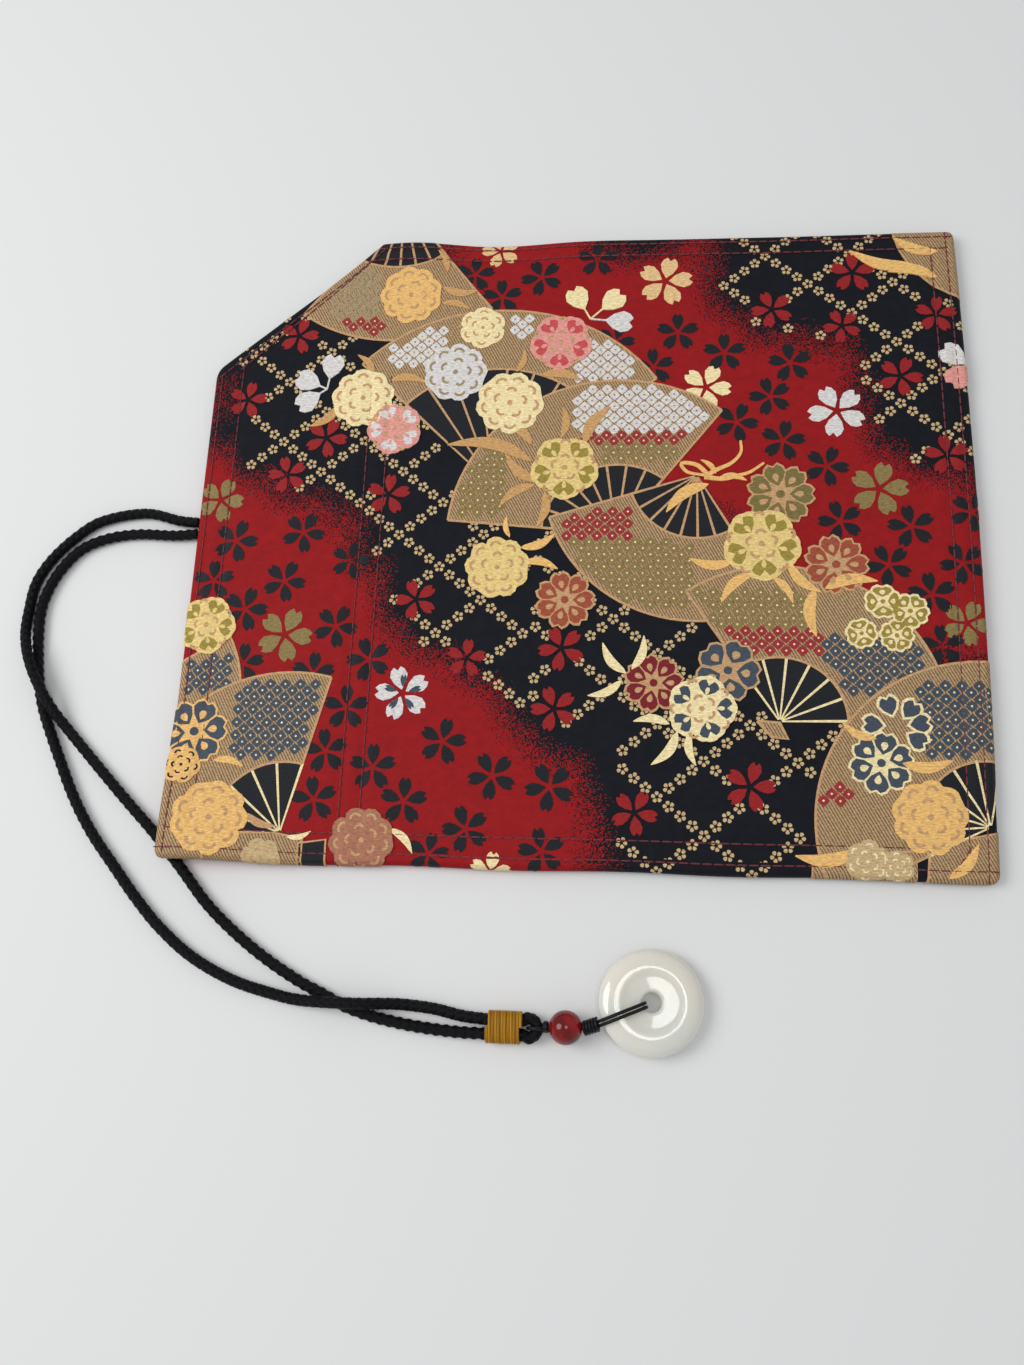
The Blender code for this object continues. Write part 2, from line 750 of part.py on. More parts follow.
def thread_knot():
    """A coil knot: the thread wound round itself, turn beside turn."""
    start, end = knot_start(), knot_end()
    length = (end - start).length
    pitch = length / KNOT_TURNS
    profile = [(0.0, 0.0), (KNOT_D / 2 - THREAD_D * 0.45, 0.0)]
    for turn in range(KNOT_TURNS):
        profile.append((KNOT_D / 2 - THREAD_D * 0.15, (turn + 0.15) * pitch))
        profile.append((KNOT_D / 2, (turn + 0.5) * pitch))
        profile.append((KNOT_D / 2 - THREAD_D * 0.15, (turn + 0.85) * pitch))
        profile.append((KNOT_D / 2 - THREAD_D * 0.45, (turn + 1) * pitch))
    profile.append((0.0, length))
    made = spun("thread_knot", profile, 16, [thread_look()], False)
    return place(made, start, end - start)


def thread_look():
    """The waxed thread's black."""
    return material("black_thread", (0.012, 0.012, 0.015), 0.5)


def ring_section():
    """Half of the ring's section: radius and height, counterclockwise."""
    flat = RING_FLAT_D / 2
    rim = RING_D / 2 - flat
    hole = RING_HOLE_D / 2
    edge = RING_HOLE_ROUND
    half = RING_T / 2
    points = []
    for step in range(13):
        angle = math.pi * (step / 12 - 0.5)
        points.append((flat + rim * math.cos(angle), half * math.sin(angle)))
    for step in range(4):
        angle = math.pi / 2 * (1 + step / 3)
        points.append(
            (hole + edge + edge * math.cos(angle), half - edge + edge * math.sin(angle))
        )
    for step in range(4):
        angle = math.pi / 2 * (2 + step / 3)
        points.append(
            (hole + edge + edge * math.cos(angle), -half + edge + edge * math.sin(angle))
        )
    return points


def jade_ring():
    """The jade disc with its hole, tilted over the thread under it."""
    look = material("jade", (0.72, 0.75, 0.66), 0.15)
    made = spun("jade_ring", ring_section(), 40, [look], True)
    middle, _, axis = ring_frame()
    return place(made, middle, axis)


def thread_round_nose(ply):
    """The thread's way from the bead round the end of the cord's loop."""
    tip = nose_point()
    centre = bead_centre()
    reach = CORD_D / 2 + GAP + THREAD_D / 2 + 0.05
    top = centre.z + ply
    points = [Vector((centre.x, centre.y, top)), Vector((centre.x - BEAD_D / 2, centre.y, top))]
    angles = [40 + 35 * k for k in range(8)]
    for angle in angles:
        a = math.radians(angle)
        points.append(Vector((tip.x + reach * math.cos(a), tip.y, tip.z + reach * math.sin(a))))
    points.append(Vector((centre.x - BEAD_D / 2, centre.y, centre.z - ply)))
    points.append(Vector((centre.x + BEAD_D / 2, centre.y, centre.z - ply)))
    return points


def thread_round_ring(side):
    """One turn of the thread over the ring's rim, through its hole and back."""
    middle, towards, axis = ring_frame()
    across = axis.cross(towards)
    clear = THREAD_D / 2 + GAP
    flat = RING_FLAT_D / 2
    rim = RING_D / 2 - flat
    half = RING_T / 2
    over = [(RING_D / 2 + knot_stand_off(), clear)]
    for angle in (28, 40, 52, 64, 77, 90):
        a = math.radians(angle)
        out = Vector((math.cos(a) / rim, math.sin(a) / half)).normalized() * clear
        over.append((flat + rim * math.cos(a) + out.x, half * math.sin(a) + out.y))
    turn = RING_HOLE_ROUND + clear
    hole = RING_HOLE_D / 2 + RING_HOLE_ROUND
    for angle in (90, 120, 150, 180):
        a = math.radians(angle)
        over.append((hole + turn * math.cos(a), half - RING_HOLE_ROUND + turn * math.sin(a)))
    route = over + [(u, -n) for u, n in reversed(over)]
    route = [middle + towards * u + axis * n + across * side for u, n in route]
    face, way = knot_end(), (knot_end() - knot_start()).normalized()
    for end in (0, -1):
        short = THREAD_SEAT - (route[end] - face).dot(way)
        route[end] -= towards * (short / -towards.dot(way))
    return route


def bead_thread():
    """The thin thread between its knot and the cord: two plies in the bead."""
    route = thread_round_nose(PLY_PITCH / 2)
    return tube("bead_thread", [route], THREAD_D, thread_look())


def ring_threads():
    """The two turns of thread that carry the ring, side by side."""
    for name, side in (("ring_thread_near", -PLY_PITCH / 2), ("ring_thread_far", PLY_PITCH / 2)):
        tube(name, [thread_round_ring(side)], THREAD_D, thread_look())


def clear_scene():
    """Remove what the file holds."""
    for item in list(bpy.data.objects):
        bpy.data.objects.remove(item, do_unlink=True)


def main():
    clear_scene()
    outer_cover()
    layer("padding", EDGE_R + GAP, PADDING_Z, PADDING_T, material("felt", (0.55, 0.53, 0.5)))
    layer("lining", EDGE_R + GAP, LINING_Z, LINING_T, material("lining_cotton", (0.05, 0.006, 0.008)))
    pocket_panel()
    braided_cord()
    cord_binding()
    bead_thread()
    ring_threads()
    thread_knot()
    carnelian_bead()
    jade_ring()


main()
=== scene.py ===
import json
import math
import random

import bmesh
import bpy
import numpy as np
from bpy.props import FloatProperty, FloatVectorProperty, IntProperty, PointerProperty
from mathutils import Matrix, Vector
from mathutils.geometry import delaunay_2d_cdt


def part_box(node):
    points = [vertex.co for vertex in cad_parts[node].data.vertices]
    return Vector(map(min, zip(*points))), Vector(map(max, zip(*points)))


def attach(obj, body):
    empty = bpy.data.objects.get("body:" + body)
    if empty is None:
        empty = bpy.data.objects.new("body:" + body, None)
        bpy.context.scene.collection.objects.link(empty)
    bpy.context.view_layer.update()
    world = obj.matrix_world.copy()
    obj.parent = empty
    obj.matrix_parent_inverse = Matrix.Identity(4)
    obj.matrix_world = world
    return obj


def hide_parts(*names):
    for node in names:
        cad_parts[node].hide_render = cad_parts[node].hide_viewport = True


bl_info = {
    "name": "Brocade Pen Pouch",
    "version": (1, 0, 0),
    "blender": (4, 5, 0),
    "location": "View3D > Sidebar > Pouch",
    "description": "Makes a brocade pen pouch with its cord, bead and ring",
    "category": "Add Mesh",
}

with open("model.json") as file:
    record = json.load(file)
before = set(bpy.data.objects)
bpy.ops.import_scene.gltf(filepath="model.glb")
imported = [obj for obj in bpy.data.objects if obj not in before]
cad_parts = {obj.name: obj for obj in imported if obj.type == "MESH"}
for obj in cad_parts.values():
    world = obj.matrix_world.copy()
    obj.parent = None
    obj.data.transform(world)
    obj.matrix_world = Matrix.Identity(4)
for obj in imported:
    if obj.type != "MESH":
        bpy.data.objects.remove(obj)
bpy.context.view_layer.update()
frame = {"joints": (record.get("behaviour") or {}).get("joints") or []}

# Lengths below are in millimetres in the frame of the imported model, unless a comment says otherwise
MM = 0.001
GAP = 0.3


def node_box(node):
    """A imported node's lowest and highest corners in millimetres."""
    return [Vector(corner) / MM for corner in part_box(node)]


cover_low, cover_high = node_box("outer_cover")
lining_low, _ = node_box("lining")
panel_low, panel_high = node_box("pocket_panel")
padding_low, _ = node_box("padding")

# The cover's outline and its rolled edge
WIDTH = cover_high.x - cover_low.x
DEPTH = cover_high.y - cover_low.y
CHAMFER_SIDE = 39.5
CHAMFER_FAR = 45.5
CORNER_R = 2.5
CHAMFER_R = 6.0
THICKNESS = 4.0
EDGE_R = THICKNESS / 2
COVER_T = 0.5
HEM_W = 9.0
HEM_LIFT = 0.08
LINING_T = 0.3
PADDING_T = 1.1
POCKET_T = 0.4
CLOTH_STEP = 1.3
LAYER_STEP = 6.0

# The near left corner lies on the cord and lifts along a straight fold
FOLD_POINT = (-105.7, -82.1)
FOLD_DIRECTION = math.radians(-47.0)
FOLD_START = 1.2
FOLD_LENGTH = 27.0
FOLD_STEPS = 8
LIFT = 3.3

# Rows of stitches on the cover: from, to
ROWS = [
    ((-100.7, -86.5), (-100.7, 46.0)),
    ((-94.7, -82.4), (-94.7, 50.0)),
    ((-102.0, -86.4), (101.5, -86.4)),
    ((-99.4, -81.4), (91.0, -81.4)),
    ((100.3, -88.0), (100.3, 87.0)),
    ((96.0, -81.5), (96.0, 82.6)),
    ((96.0, -81.5), (92.4, -86.8)),
    ((-57.0, 86.8), (101.0, 86.8)),
    ((-60.0, 83.2), (99.5, 83.2)),
    ((-100.6, 47.6), (-57.0, 86.2)),
    ((-94.7, 50.0), (-60.0, 83.2)),
    ((-57.4, -88.0), (-57.4, 46.2)),
    ((-52.0, -88.0), (-52.0, 45.4)),
    ((-81.0, -86.2), (-78.0, -88.6)),
]
ROW_DENT = 0.28
ROW_DENT_W = 1.1
STITCH_R = 0.19
STITCH_RISE = 0.20
STITCH_SINK = 0.13

# The cloth's own unevenness: its swell, and how far its edges wave in and out
SWELL = 0.12
FAR_WAVE = 1.3
NEAR_WAVE = 0.22
RIGHT_BULGE = 0.6
RIGHT_DRAW = 1.3

# Cord
CORD_D = 3.0
PLAITS_ROUND = 4.0
PLAIT_STRANDS = 7.0
CORD_SIDES = 24
CORD_STEP = 0.32
ROUTE_STEP = 0.45
THREAD_STEP = 0.3
CORD_EXIT_Y = 1.55
FLAT_Z = CORD_D / 2
OVER_Z = FLAT_Z + CORD_D + GAP
# The strands lie on the table where no height is given
UPPER_STRAND = [
    (-109, 3.9, 1.8), (-119, 6.2), (-131, 4), (-138.3, -1), (-144.4, -7.8), (-147.8, -14.8),
    (-148.6, -22.8), (-147.8, -29, 2.9), (-145.7, -34.8, 4.5), (-143.2, -40.3, OVER_Z),
    (-140, -45.8, 4.5), (-136.6, -50.8, 3.1), (-131.6, -56.5), (-122.3, -65.9), (-113.9, -74.2),
    (-105.7, -82.1), (-97.5, -90.9), (-89.9, -99.4), (-81.9, -106.3), (-73.4, -112.3), (-64.7, -117.3),
    (-58.8, -120), (-52.5, -122.9), (-45.4, -125), (-37.9, -126.4), (-30.3, -127.3), (-24, -127.7, 1.9),
]
LOWER_STRAND = [
    (-110, -0.5, 1.8), (-120.3, 0), (-129, -1.3), (-136.2, -4.6), (-141.4, -10.8), (-144.2, -17.2),
    (-145.2, -23), (-144.8, -30), (-143.9, -36), (-143, -41), (-141.4, -46.8), (-139.2, -52.5), (-134, -63),
    (-128.4, -73.5), (-122.4, -82.4), (-115.2, -90.9), (-108.1, -99), (-101, -106), (-92, -112.7),
    (-81, -117.9), (-69.2, -121), (-64, -121.8, 2.4), (-60, -122, 3.9), (-54.5, -122.1, OVER_Z),
    (-48.5, -122.1, 4.4), (-43.5, -121.9, 2.9), (-38.1, -121.9), (-30.6, -122.6), (-24, -123.9, 1.9),
]
BINDING_AT = (-18.1, -126.1)
BINDING_LENGTH = 8.9
BINDING_T = 0.4
BINDING_TURNS = 11
BIGHT_GAP = 1.5
BIGHT_RISE = 0.6
BIGHT_NECK = 1.25

# Thread, bead, knot and ring
THREAD_D = 0.8
PLY_PITCH = 1.0
THREAD_SEAT = 0.45
BEAD_D = 8.0
BEAD_CLEARANCE = 0.05
BORE_CLEARANCE = 0.25
KNOT_D = 2.8
KNOT_TURNS = 4
RING_D = 24.9
RING_HOLE_D = 4.7
RING_T = 5.0
RING_FLAT_D = 16.0
RING_HOLE_ROUND = 0.8
RING_DISH = 0.5
RING_RIDGE_W = 0.75
RING_TILT = math.radians(6.0)
RING_BEARING = math.radians(203.0)

# Woven colours, in linear light
COLOURS = {
    "red": (0.31, 0.009, 0.011),
    "black": (0.007, 0.008, 0.012),
    "leaf": (0.49, 0.32, 0.155),
    "gold": (0.58, 0.34, 0.16),
    "tan": (0.37, 0.28, 0.155),
    "straw": (0.60, 0.43, 0.22),
    "peach": (0.80, 0.53, 0.25),
    "moss": (0.35, 0.26, 0.045),
    "amber": (0.86, 0.51, 0.17),
    "cream": (0.92, 0.76, 0.41),
    "white": (0.72, 0.69, 0.66),
    "yellow": (0.83, 0.61, 0.23),
    "pink": (0.78, 0.33, 0.28),
    "rose": (0.60, 0.08, 0.08),
    "brick": (0.42, 0.17, 0.10),
    "olive": (0.20, 0.155, 0.045),
    "blue": (0.055, 0.075, 0.10),
    "rust": (0.36, 0.075, 0.036),
    "wine": (0.20, 0.010, 0.018),
    "crimson": (0.33, 0.028, 0.030),
    "khaki": (0.265, 0.19, 0.065),
    "ochre": (0.62, 0.35, 0.13),
}

# Height of thread work above the cloth, by its level in the pattern
LEVEL_STEP = 0.03
LEVEL_BASE = 0.04
LEVEL_ROOT = -0.06
EDGE_WRAP = 3.6

# Print: edges of the dark fields, read one by one
DARK_BAND = [
    (-112, 24), (-103, 19), (-90, 15), (-80, 11), (-70, 7), (-62, 2), (-57, -6), (-53, -14), (-50, -23),
    (-45, -30), (-36, -36), (-25, -40), (-19, -46), (-14, -55), (-5, -60), (2, -65), (5, -72), (7, -80),
    (7, -100), (112, -100), (112, -36), (90, -34), (60, -20), (38, -8), (38, 3), (20, 11), (0, 30),
    (-30, 60), (-38, 88), (-40, 100), (-112, 100),
]
DARK_CORNER = [
    (33, 100), (34, 80), (36, 70), (41, 61.5), (48, 57.5), (60, 55.5), (69, 51.5), (74, 46), (75, 39),
    (74, 32), (77, 25), (85, 18.5), (95, 13.5), (112, 11), (112, 100),
]
DARK_PATCH = [(1, 100), (2, 86), (9, 83), (25, 83), (33, 86), (36, 100)]
MIST_W = 8.5

# Fans: pivot, outer and inner radius, first and last angle, level in the pattern, ribs
FANS = [
    ((-52, 101), 43.5, 20.5, 232, 309, 3, 6),
    ((-22, 13), 53.5, 35.0, 36, 136, 4, 8),
    ((11, -1), 45.0, 19.8, 52, 175, 5, 8),
    ((32, 15.5), 40.5, 17.8, 197, 300, 6, 7),
    ((52, -51), 41.0, 16.6, 1, 124, 7, 6),
    ((101, -76), 41.0, 16.0, 78, 206, 8, 6),
    ((-118, -46), 32.0, 12.0, -10, 30, 3, 4),
    ((-72, -81.5), 41.7, 18.0, 76, 205, 4, 6),
    ((112, 92), 26.0, 8.0, 185, 260, 3, 4),
]
FAN_EDGE_W = 0.62
FAN_RIB_W = 0.62

# Small patches beside the fans: colour and outline
PATCHES = [
    ("leaf", [(46.5, -51), (52, -51.3), (54, -55.5), (50, -55)]),
    ("leaf", [(-91, -91.5), (-90, -84), (-83, -82), (-74, -81.5), (-66, -83), (-66, -91.5)]),
    ("black", [(-67, -91.5), (-67, -84), (-60, -83), (-60, -91.5)]),
    ("leaf", [(59, -91.5), (59, -85), (83.5, -82), (83.5, -91.5)]),
    ("leaf", [(86, -91.5), (86.5, -83), (93, -79.5), (104, -77), (104, -91.5)]),
]

# Tie-dye dots on the fans: colour, fan, then a box x from, x to, y from, y to
DOT_FIELDS = [
    ("tan", 0, -71, -57, 65, 81),
    ("crimson", 0, -67, -55, 59, 65),
    ("white", 1, 0, 15, 39, 58),
    ("white", 1, -53, -37, 49, 63),
    ("white", 1, -19, -14, 57, 64),
    ("white", 2, 0, 34, 29, 42),
    ("crimson", 2, 2, 31, 24.5, 29),
    ("khaki", 2, -33, -19, 4, 25),
    ("khaki", 2, 7, 26, 19, 24.5),
    ("crimson", 3, -5, 14, -3, 6),
    ("khaki", 3, 0, 31, -21, -3),
    ("khaki", 4, 32, 59, -27, -16),
    ("crimson", 4, 38, 63, -33, -27),
    ("blue", 4, 63, 89, -43, -29),
    ("blue", 5, 86, 103, -60, -40),
    ("crimson", 5, 62, 69, -71, -66),
    ("blue", 6, -100, -89, -45, -35),
    ("blue", 7, -87, -65, -63, -43),
]

# Blossoms of five petals: x, y, radius, by colour
BLOSSOMS = {
    "black": [
        (-30, 78.5, 5.7), (-22, 71, 5.7), (-11, 77, 5.9), (4.5, 82, 5.6), (27, 58.5, 5.8), (20.5, 48, 5.6),
        (10, 56, 5.4), (39.5, 52, 5.8), (57, 48.5, 5.9), (51.5, 38.5, 5.7), (42.5, 31, 5.8),
        (54.5, 25.5, 5.9), (65.5, 18, 5.8), (68.5, 2.5, 5.8), (86, 1, 6.0), (101, 5, 5.6),
        (80, -9.5, 5.8), (98, -9, 5.8), (90, -17.5, 6.0), (92, -31, 5.6), (-91.5, -3, 6.2),
        (-73, -0.5, 5.9), (-96.5, -14.5, 5.8),
        (-77, -14.5, 5.9), (-87, -22.5, 6.2), (-59.5, -8.5, 5.4), (-62, -27, 6.0), (-86, -37.5, 5.6),
        (-67, -40, 5.8), (-52.5, -36, 6.0), (-57.5, -49, 6.0), (-62, -60.5, 5.9), (-49.5, -64.5, 6.1),
        (-64, -73, 6.0), (-41, -73, 6.1), (-32, -57.5, 6.1), (-19, -66, 6.2), (-4.5, -68.5, 6.3),
        (-25, -79.5, 6.0), (-6, -84.5, 5.9), (-34, -86, 5.4),
    ],
    "red": [
        (-79.5, 59.5, 5.8), (-92.5, 39.5, 5.6), (-69, 27.5, 6.0), (-79, 16.5, 5.6), (-50.5, 10.5, 6.0),
        (-41, -19.5, 5.7), (-27, -35.5, 5.3), (-2.5, -32.5, 6.1), (-4, -48.5, 6.0), (16.5, -74.5, 5.8),
        (44.5, -67.5, 6.3), (52.5, 65, 5.8), (74.5, 76, 6.2), (71, 59.5, 5.2), (96, 62.5, 5.6),
        (85.5, 44, 5.9), (96, 21, 5.8),
    ],
    "peach": [(-23, 86.5, 5.5), (23.5, 74.5, 7.6)],
    "cream": [(34.5, 41.5, 6.8), (-18.5, -90, 5.2)],
    "white": [(68.7, 34, 7.6), (-43, -45, 7.2)],
    "khaki": [(-97, 9, 6.5), (78.5, 11.5, 7.5), (-75.5, -29.5, 7.5), (98, -25, 6.0)],
}
PETAL_W = 0.54
LIGHT_PETAL_W = 0.64
VEINED_BLOSSOM = (-43, -45)

# Loose heart petals: x, y, and the place that they point to
HEARTS = [
    ((-0.5, 69.5), (3, 63), "cream"), ((9, 68.5), (3, 63), "cream"), ((11, 62), (3, 63), "white"),
    ((-75.5, 45), (-70, 42.5), "white"), ((-69, 49.5), (-70, 42.5), "white"),
    ((-75, 39), (-70, 42.5), "white"), ((99.5, 50), (103, 47), "white"), ((100.5, 44), (103, 47), "pink"),
]

# Round blossoms with an outline: x, y, radius, colour of the petals, colour of the outline, petals
ROSETTES = [
    (-2, -19.5, 8.0, "rust", "gold", 7), (53.5, 10, 9.0, "olive", "gold", 7),
    (67, -9.5, 8.3, "rust", "gold", 7), (21, -41.5, 7.8, "wine", "gold", 7),
    (39.5, -38, 8.3, "blue", "gold", 5), (76, -61, 8.0, "blue", "cream", 6),
    (-97, -56, 9.0, "blue", "amber", 6), (78, -19.5, 4.6, "moss", "cream", 4),
    (84.5, -22, 4.8, "moss", "cream", 5), (72.5, -28, 4.0, "moss", "cream", 4),
    (81, -28.5, 4.4, "moss", "cream", 5),
]

# A blossom of loose petals near the corner: its middle and the directions of its petals
LOOSE_BLOSSOM = ((80, -52), (108, 52, 10, -33, 174))

# Full blossoms with ruffled petals: x, y, radius, colour, colour of the ruffles
PEONIES = [
    (-48, 71.5, 9.0, "amber", "gold"), (-59.5, 39.5, 9.0, "cream", "gold"), (-50, 30, 7.8, "pink", "white"),
    (-34, 47, 9.0, "white", "tan"), (-27, 61, 6.6, "cream", "gold"), (-18.5, 37.5, 9.5, "cream", "gold"),
    (-5, 56, 8.8, "pink", "rose"), (-3, 18, 9.4, "yellow", "moss"), (-20, -10.5, 8.7, "yellow", "gold"),
    (48.5, -4, 10.2, "yellow", "moss"), (87, -74, 9.2, "amber", "gold"), (-90, -78.5, 9.8, "amber", "gold"),
    (-97, -27, 8.2, "yellow", "moss"), (-51, -83, 8.4, "brick", "gold"), (-99, -65, 5.0, "amber", "black"),
    (33, -48, 8.8, "cream", "blue"), (72, -85, 5.4, "straw", "cream"), (79, -86, 4.0, "straw", "cream"),
    (-76, -88, 5.0, "straw", "gold"),
]
FILLED = ("moss", "white", "rose", "blue")

# Leaves: from, to, colour
LEAVES = [
    ((-39, 74), (-29, 73), "ochre"), ((-39, 69), (-31, 67), "ochre"), ((-38, 79), (-41, 86), "ochre"),
    ((-66, 37.5), (-74, 31), "ochre"), ((-57, 47), (-62, 53), "ochre"), ((-52, 45), (-42, 44), "ochre"),
    ((-17, 47), (-15, 54), "ochre"), ((-10, 46), (1, 44), "ochre"), ((-4, 27), (-4, 36), "ochre"),
    ((2, 25), (9, 36), "ochre"), ((-12, 20), (-35, 25), "ochre"), ((-10, 14), (-19, 22), "ochre"),
    ((-11, 13), (-20, 7), "ochre"), ((-8, 11), (-10, 1), "ochre"), ((-12, 25), (-20, 31), "ochre"),
    ((-17, -2), (-18, 4), "amber"), ((-14, -5), (-5, -1), "amber"), ((-13, -9), (-4, -11), "amber"),
    ((37, 16), (33, 20), "amber"), ((38, 15), (45, 14), "amber"), ((35, 13), (24, 5), "amber"),
    ((41, -9), (30, -8), "amber"), ((46, -12), (38, -20), "amber"), ((51, -13), (56, -20), "amber"),
    ((55, -9), (63, -17), "amber"), ((64, -16), (77, -14), "amber"), ((61.5, -16), (61.5, -29), "amber"),
    ((14, -39), (8, -31), "cream"), ((15.5, -38), (18.5, -29), "cream"), ((13, -41), (4.5, -45), "cream"),
    ((25, -52), (16, -51.5), "cream"), ((27, -54), (20.5, -62.5), "cream"),
    ((30, -54), (31.5, -62.5), "cream"), ((75, -55), (67, -51), "amber"), ((81, -61), (93, -60), "amber"),
    ((70, -82.5), (55, -84), "amber"), ((91, -88), (98, -80), "amber"),
    ((-91, -63.5), (-83, -65), "amber"), ((-81, -77), (-73, -80), "gold"),
    ((-44, -80), (-38, -86), "cream"), ((-70, -82.5), (-64, -81), "cream"), ((91, 78), (74, 83), "amber"),
    ((97, 74), (84, 76), "amber"), ((98, 82), (86, 87), "amber"),
]

LEAF_W = 3.1

# Diamond trellis of dots on the dark fields
TRELLIS_STEP = (11.4, 9.2)
TRELLIS_DOTS = 4
TRELLISES = [
    ((-81, 26.5), lambda x, y: -91 < x < -12 and y < 75 or x < -40 and y > 50),
    ((22, -70.5), lambda x, y: x >= -12 and y < 15 and (x > 12.5 or y > -54) and (x < 59 or y > -77)),
    ((51, 82), lambda x, y: x > 30 and y >= 15),
]
TRELLIS_DOT = 1.45
TRELLIS_DARK = 0.76
TRELLIS_CLEAR = -1.2
FAN_DOT_STEP = (2.0, 1.72)
FAN_DOT = 1.5
FAN_DOT_HEART = 0.32

# Ribbon tails of the bow on the middle fan
RIBBONS = [
    [(34, 15), (37, 17), (41, 19), (43.5, 22), (43.5, 25.5)],
    [(34, 15), (39, 14.5), (43, 15.5), (46, 16.5), (49.5, 19)],
    [(35, 15.5), (32, 18.5), (28, 19), (29.5, 16.5), (34, 15.5)],
]
RIBBON_W = 1.3

# Levels of the other pattern pieces, above the fans
PATCH_LEVEL = 7.5
RIBBON_LEVEL = 9.2
ROSETTE_LEVEL = 9.6
HEART_LEVEL = 9.8
LOOSE_LEVEL = 10.2
LEAF_LEVEL = 10.6
PEONY_LEVEL = 11.2

# Levels of the small shapes that lie on the ground or on a fan
DOT_LEVEL = 1.0
BLOSSOM_LEVEL = 2.0
FAN_DOT_RISE = 0.9

# Camera, lamps and floor, in metres
PHOTO_HEIGHT_PX = 1365.0
FOCAL_PX = 1151.2
SENSOR_MM = 24.0
CAMERA_PLACE = (14.9 * MM, -119.3 * MM, 285.8 * MM)
CAMERA_RIGHT = (0.9948, 0.0387, -0.0944)
CAMERA_UP = (-0.0122, 0.9638, 0.2664)
LAMPS = [
    ("window", (-0.66, 0.0, 0.68), 0.6, 4.0),
    ("fill", (0.10, -0.05, 0.95), 0.35, 1.2),
]
FLOOR_HALF = 2.5


def length_of(name, description, size):
    """A length in millimetres that someone would change."""
    return FloatProperty(name=name, description=description, default=size * MM, unit="LENGTH")


def colour_of(name, description, colour):
    """A colour that someone would change."""
    return FloatVectorProperty(name=name, description=description, subtype="COLOR", default=colour)


class PouchSizes(bpy.types.PropertyGroup):
    """The sizes that someone would change."""

    stitch_length: length_of("Stitch length", "Length of one stitch", 2.5)
    stitch_pitch: length_of("Stitch pitch", "From one stitch to the next", 2.75)
    thread_pitch: length_of("Weft pitch", "Width of one woven thread", 0.34)
    braid_length: length_of("Braid length", "Length of one plait of the cord", 2.3)
    braid_relief: length_of("Braid relief", "Depth between the plaits", 0.55)
    ring_segments: IntProperty(
        name="Ring segments", description="Steps round the ring and bead", default=96, min=24
    )


class PouchColours(bpy.types.PropertyGroup):
    """The colours that someone would change."""

    ground: colour_of("Ground", "Red of the ground cloth", COLOURS["red"])
    field: colour_of("Field", "Black of the dark fields", COLOURS["black"])
    stitching: colour_of("Stitching", "Sewing thread", (0.16, 0.008, 0.016))
    lining: colour_of("Lining", "Plain cotton inside", (0.16, 0.012, 0.016))
    braid: colour_of("Braid", "Braided cord", (0.0035, 0.0035, 0.005))
    binding: colour_of("Binding", "Silk round the cord", (0.40, 0.185, 0.006))
    jade: colour_of("Jade", "Ring", (0.74, 0.74, 0.68))
    carnelian: colour_of("Carnelian", "Bead", (0.28, 0.006, 0.004))


class Socket:
    """A node's output with Python's operators. Each adds a Math node."""

    def __init__(self, look, socket):
        self.look = look
        self.socket = socket

    def math(self, operation, *values):
        sockets = {index: value for index, value in enumerate((self, *values))}
        return self.look.node("ShaderNodeMath", {"operation": operation}, sockets)

    def __add__(self, other):
        return self.math("ADD", other)

    def __sub__(self, other):
        return self.math("SUBTRACT", other)

    def __mul__(self, other):
        return self.math("MULTIPLY", other)

    def __truediv__(self, other):
        return self.math("DIVIDE", other)

    def __lt__(self, other):
        return self.math("LESS_THAN", other)

    def __rsub__(self, other):
        return self.look.node("ShaderNodeMath", {"operation": "SUBTRACT"}, {0: other, 1: self})

    __radd__ = __add__
    __rmul__ = __mul__


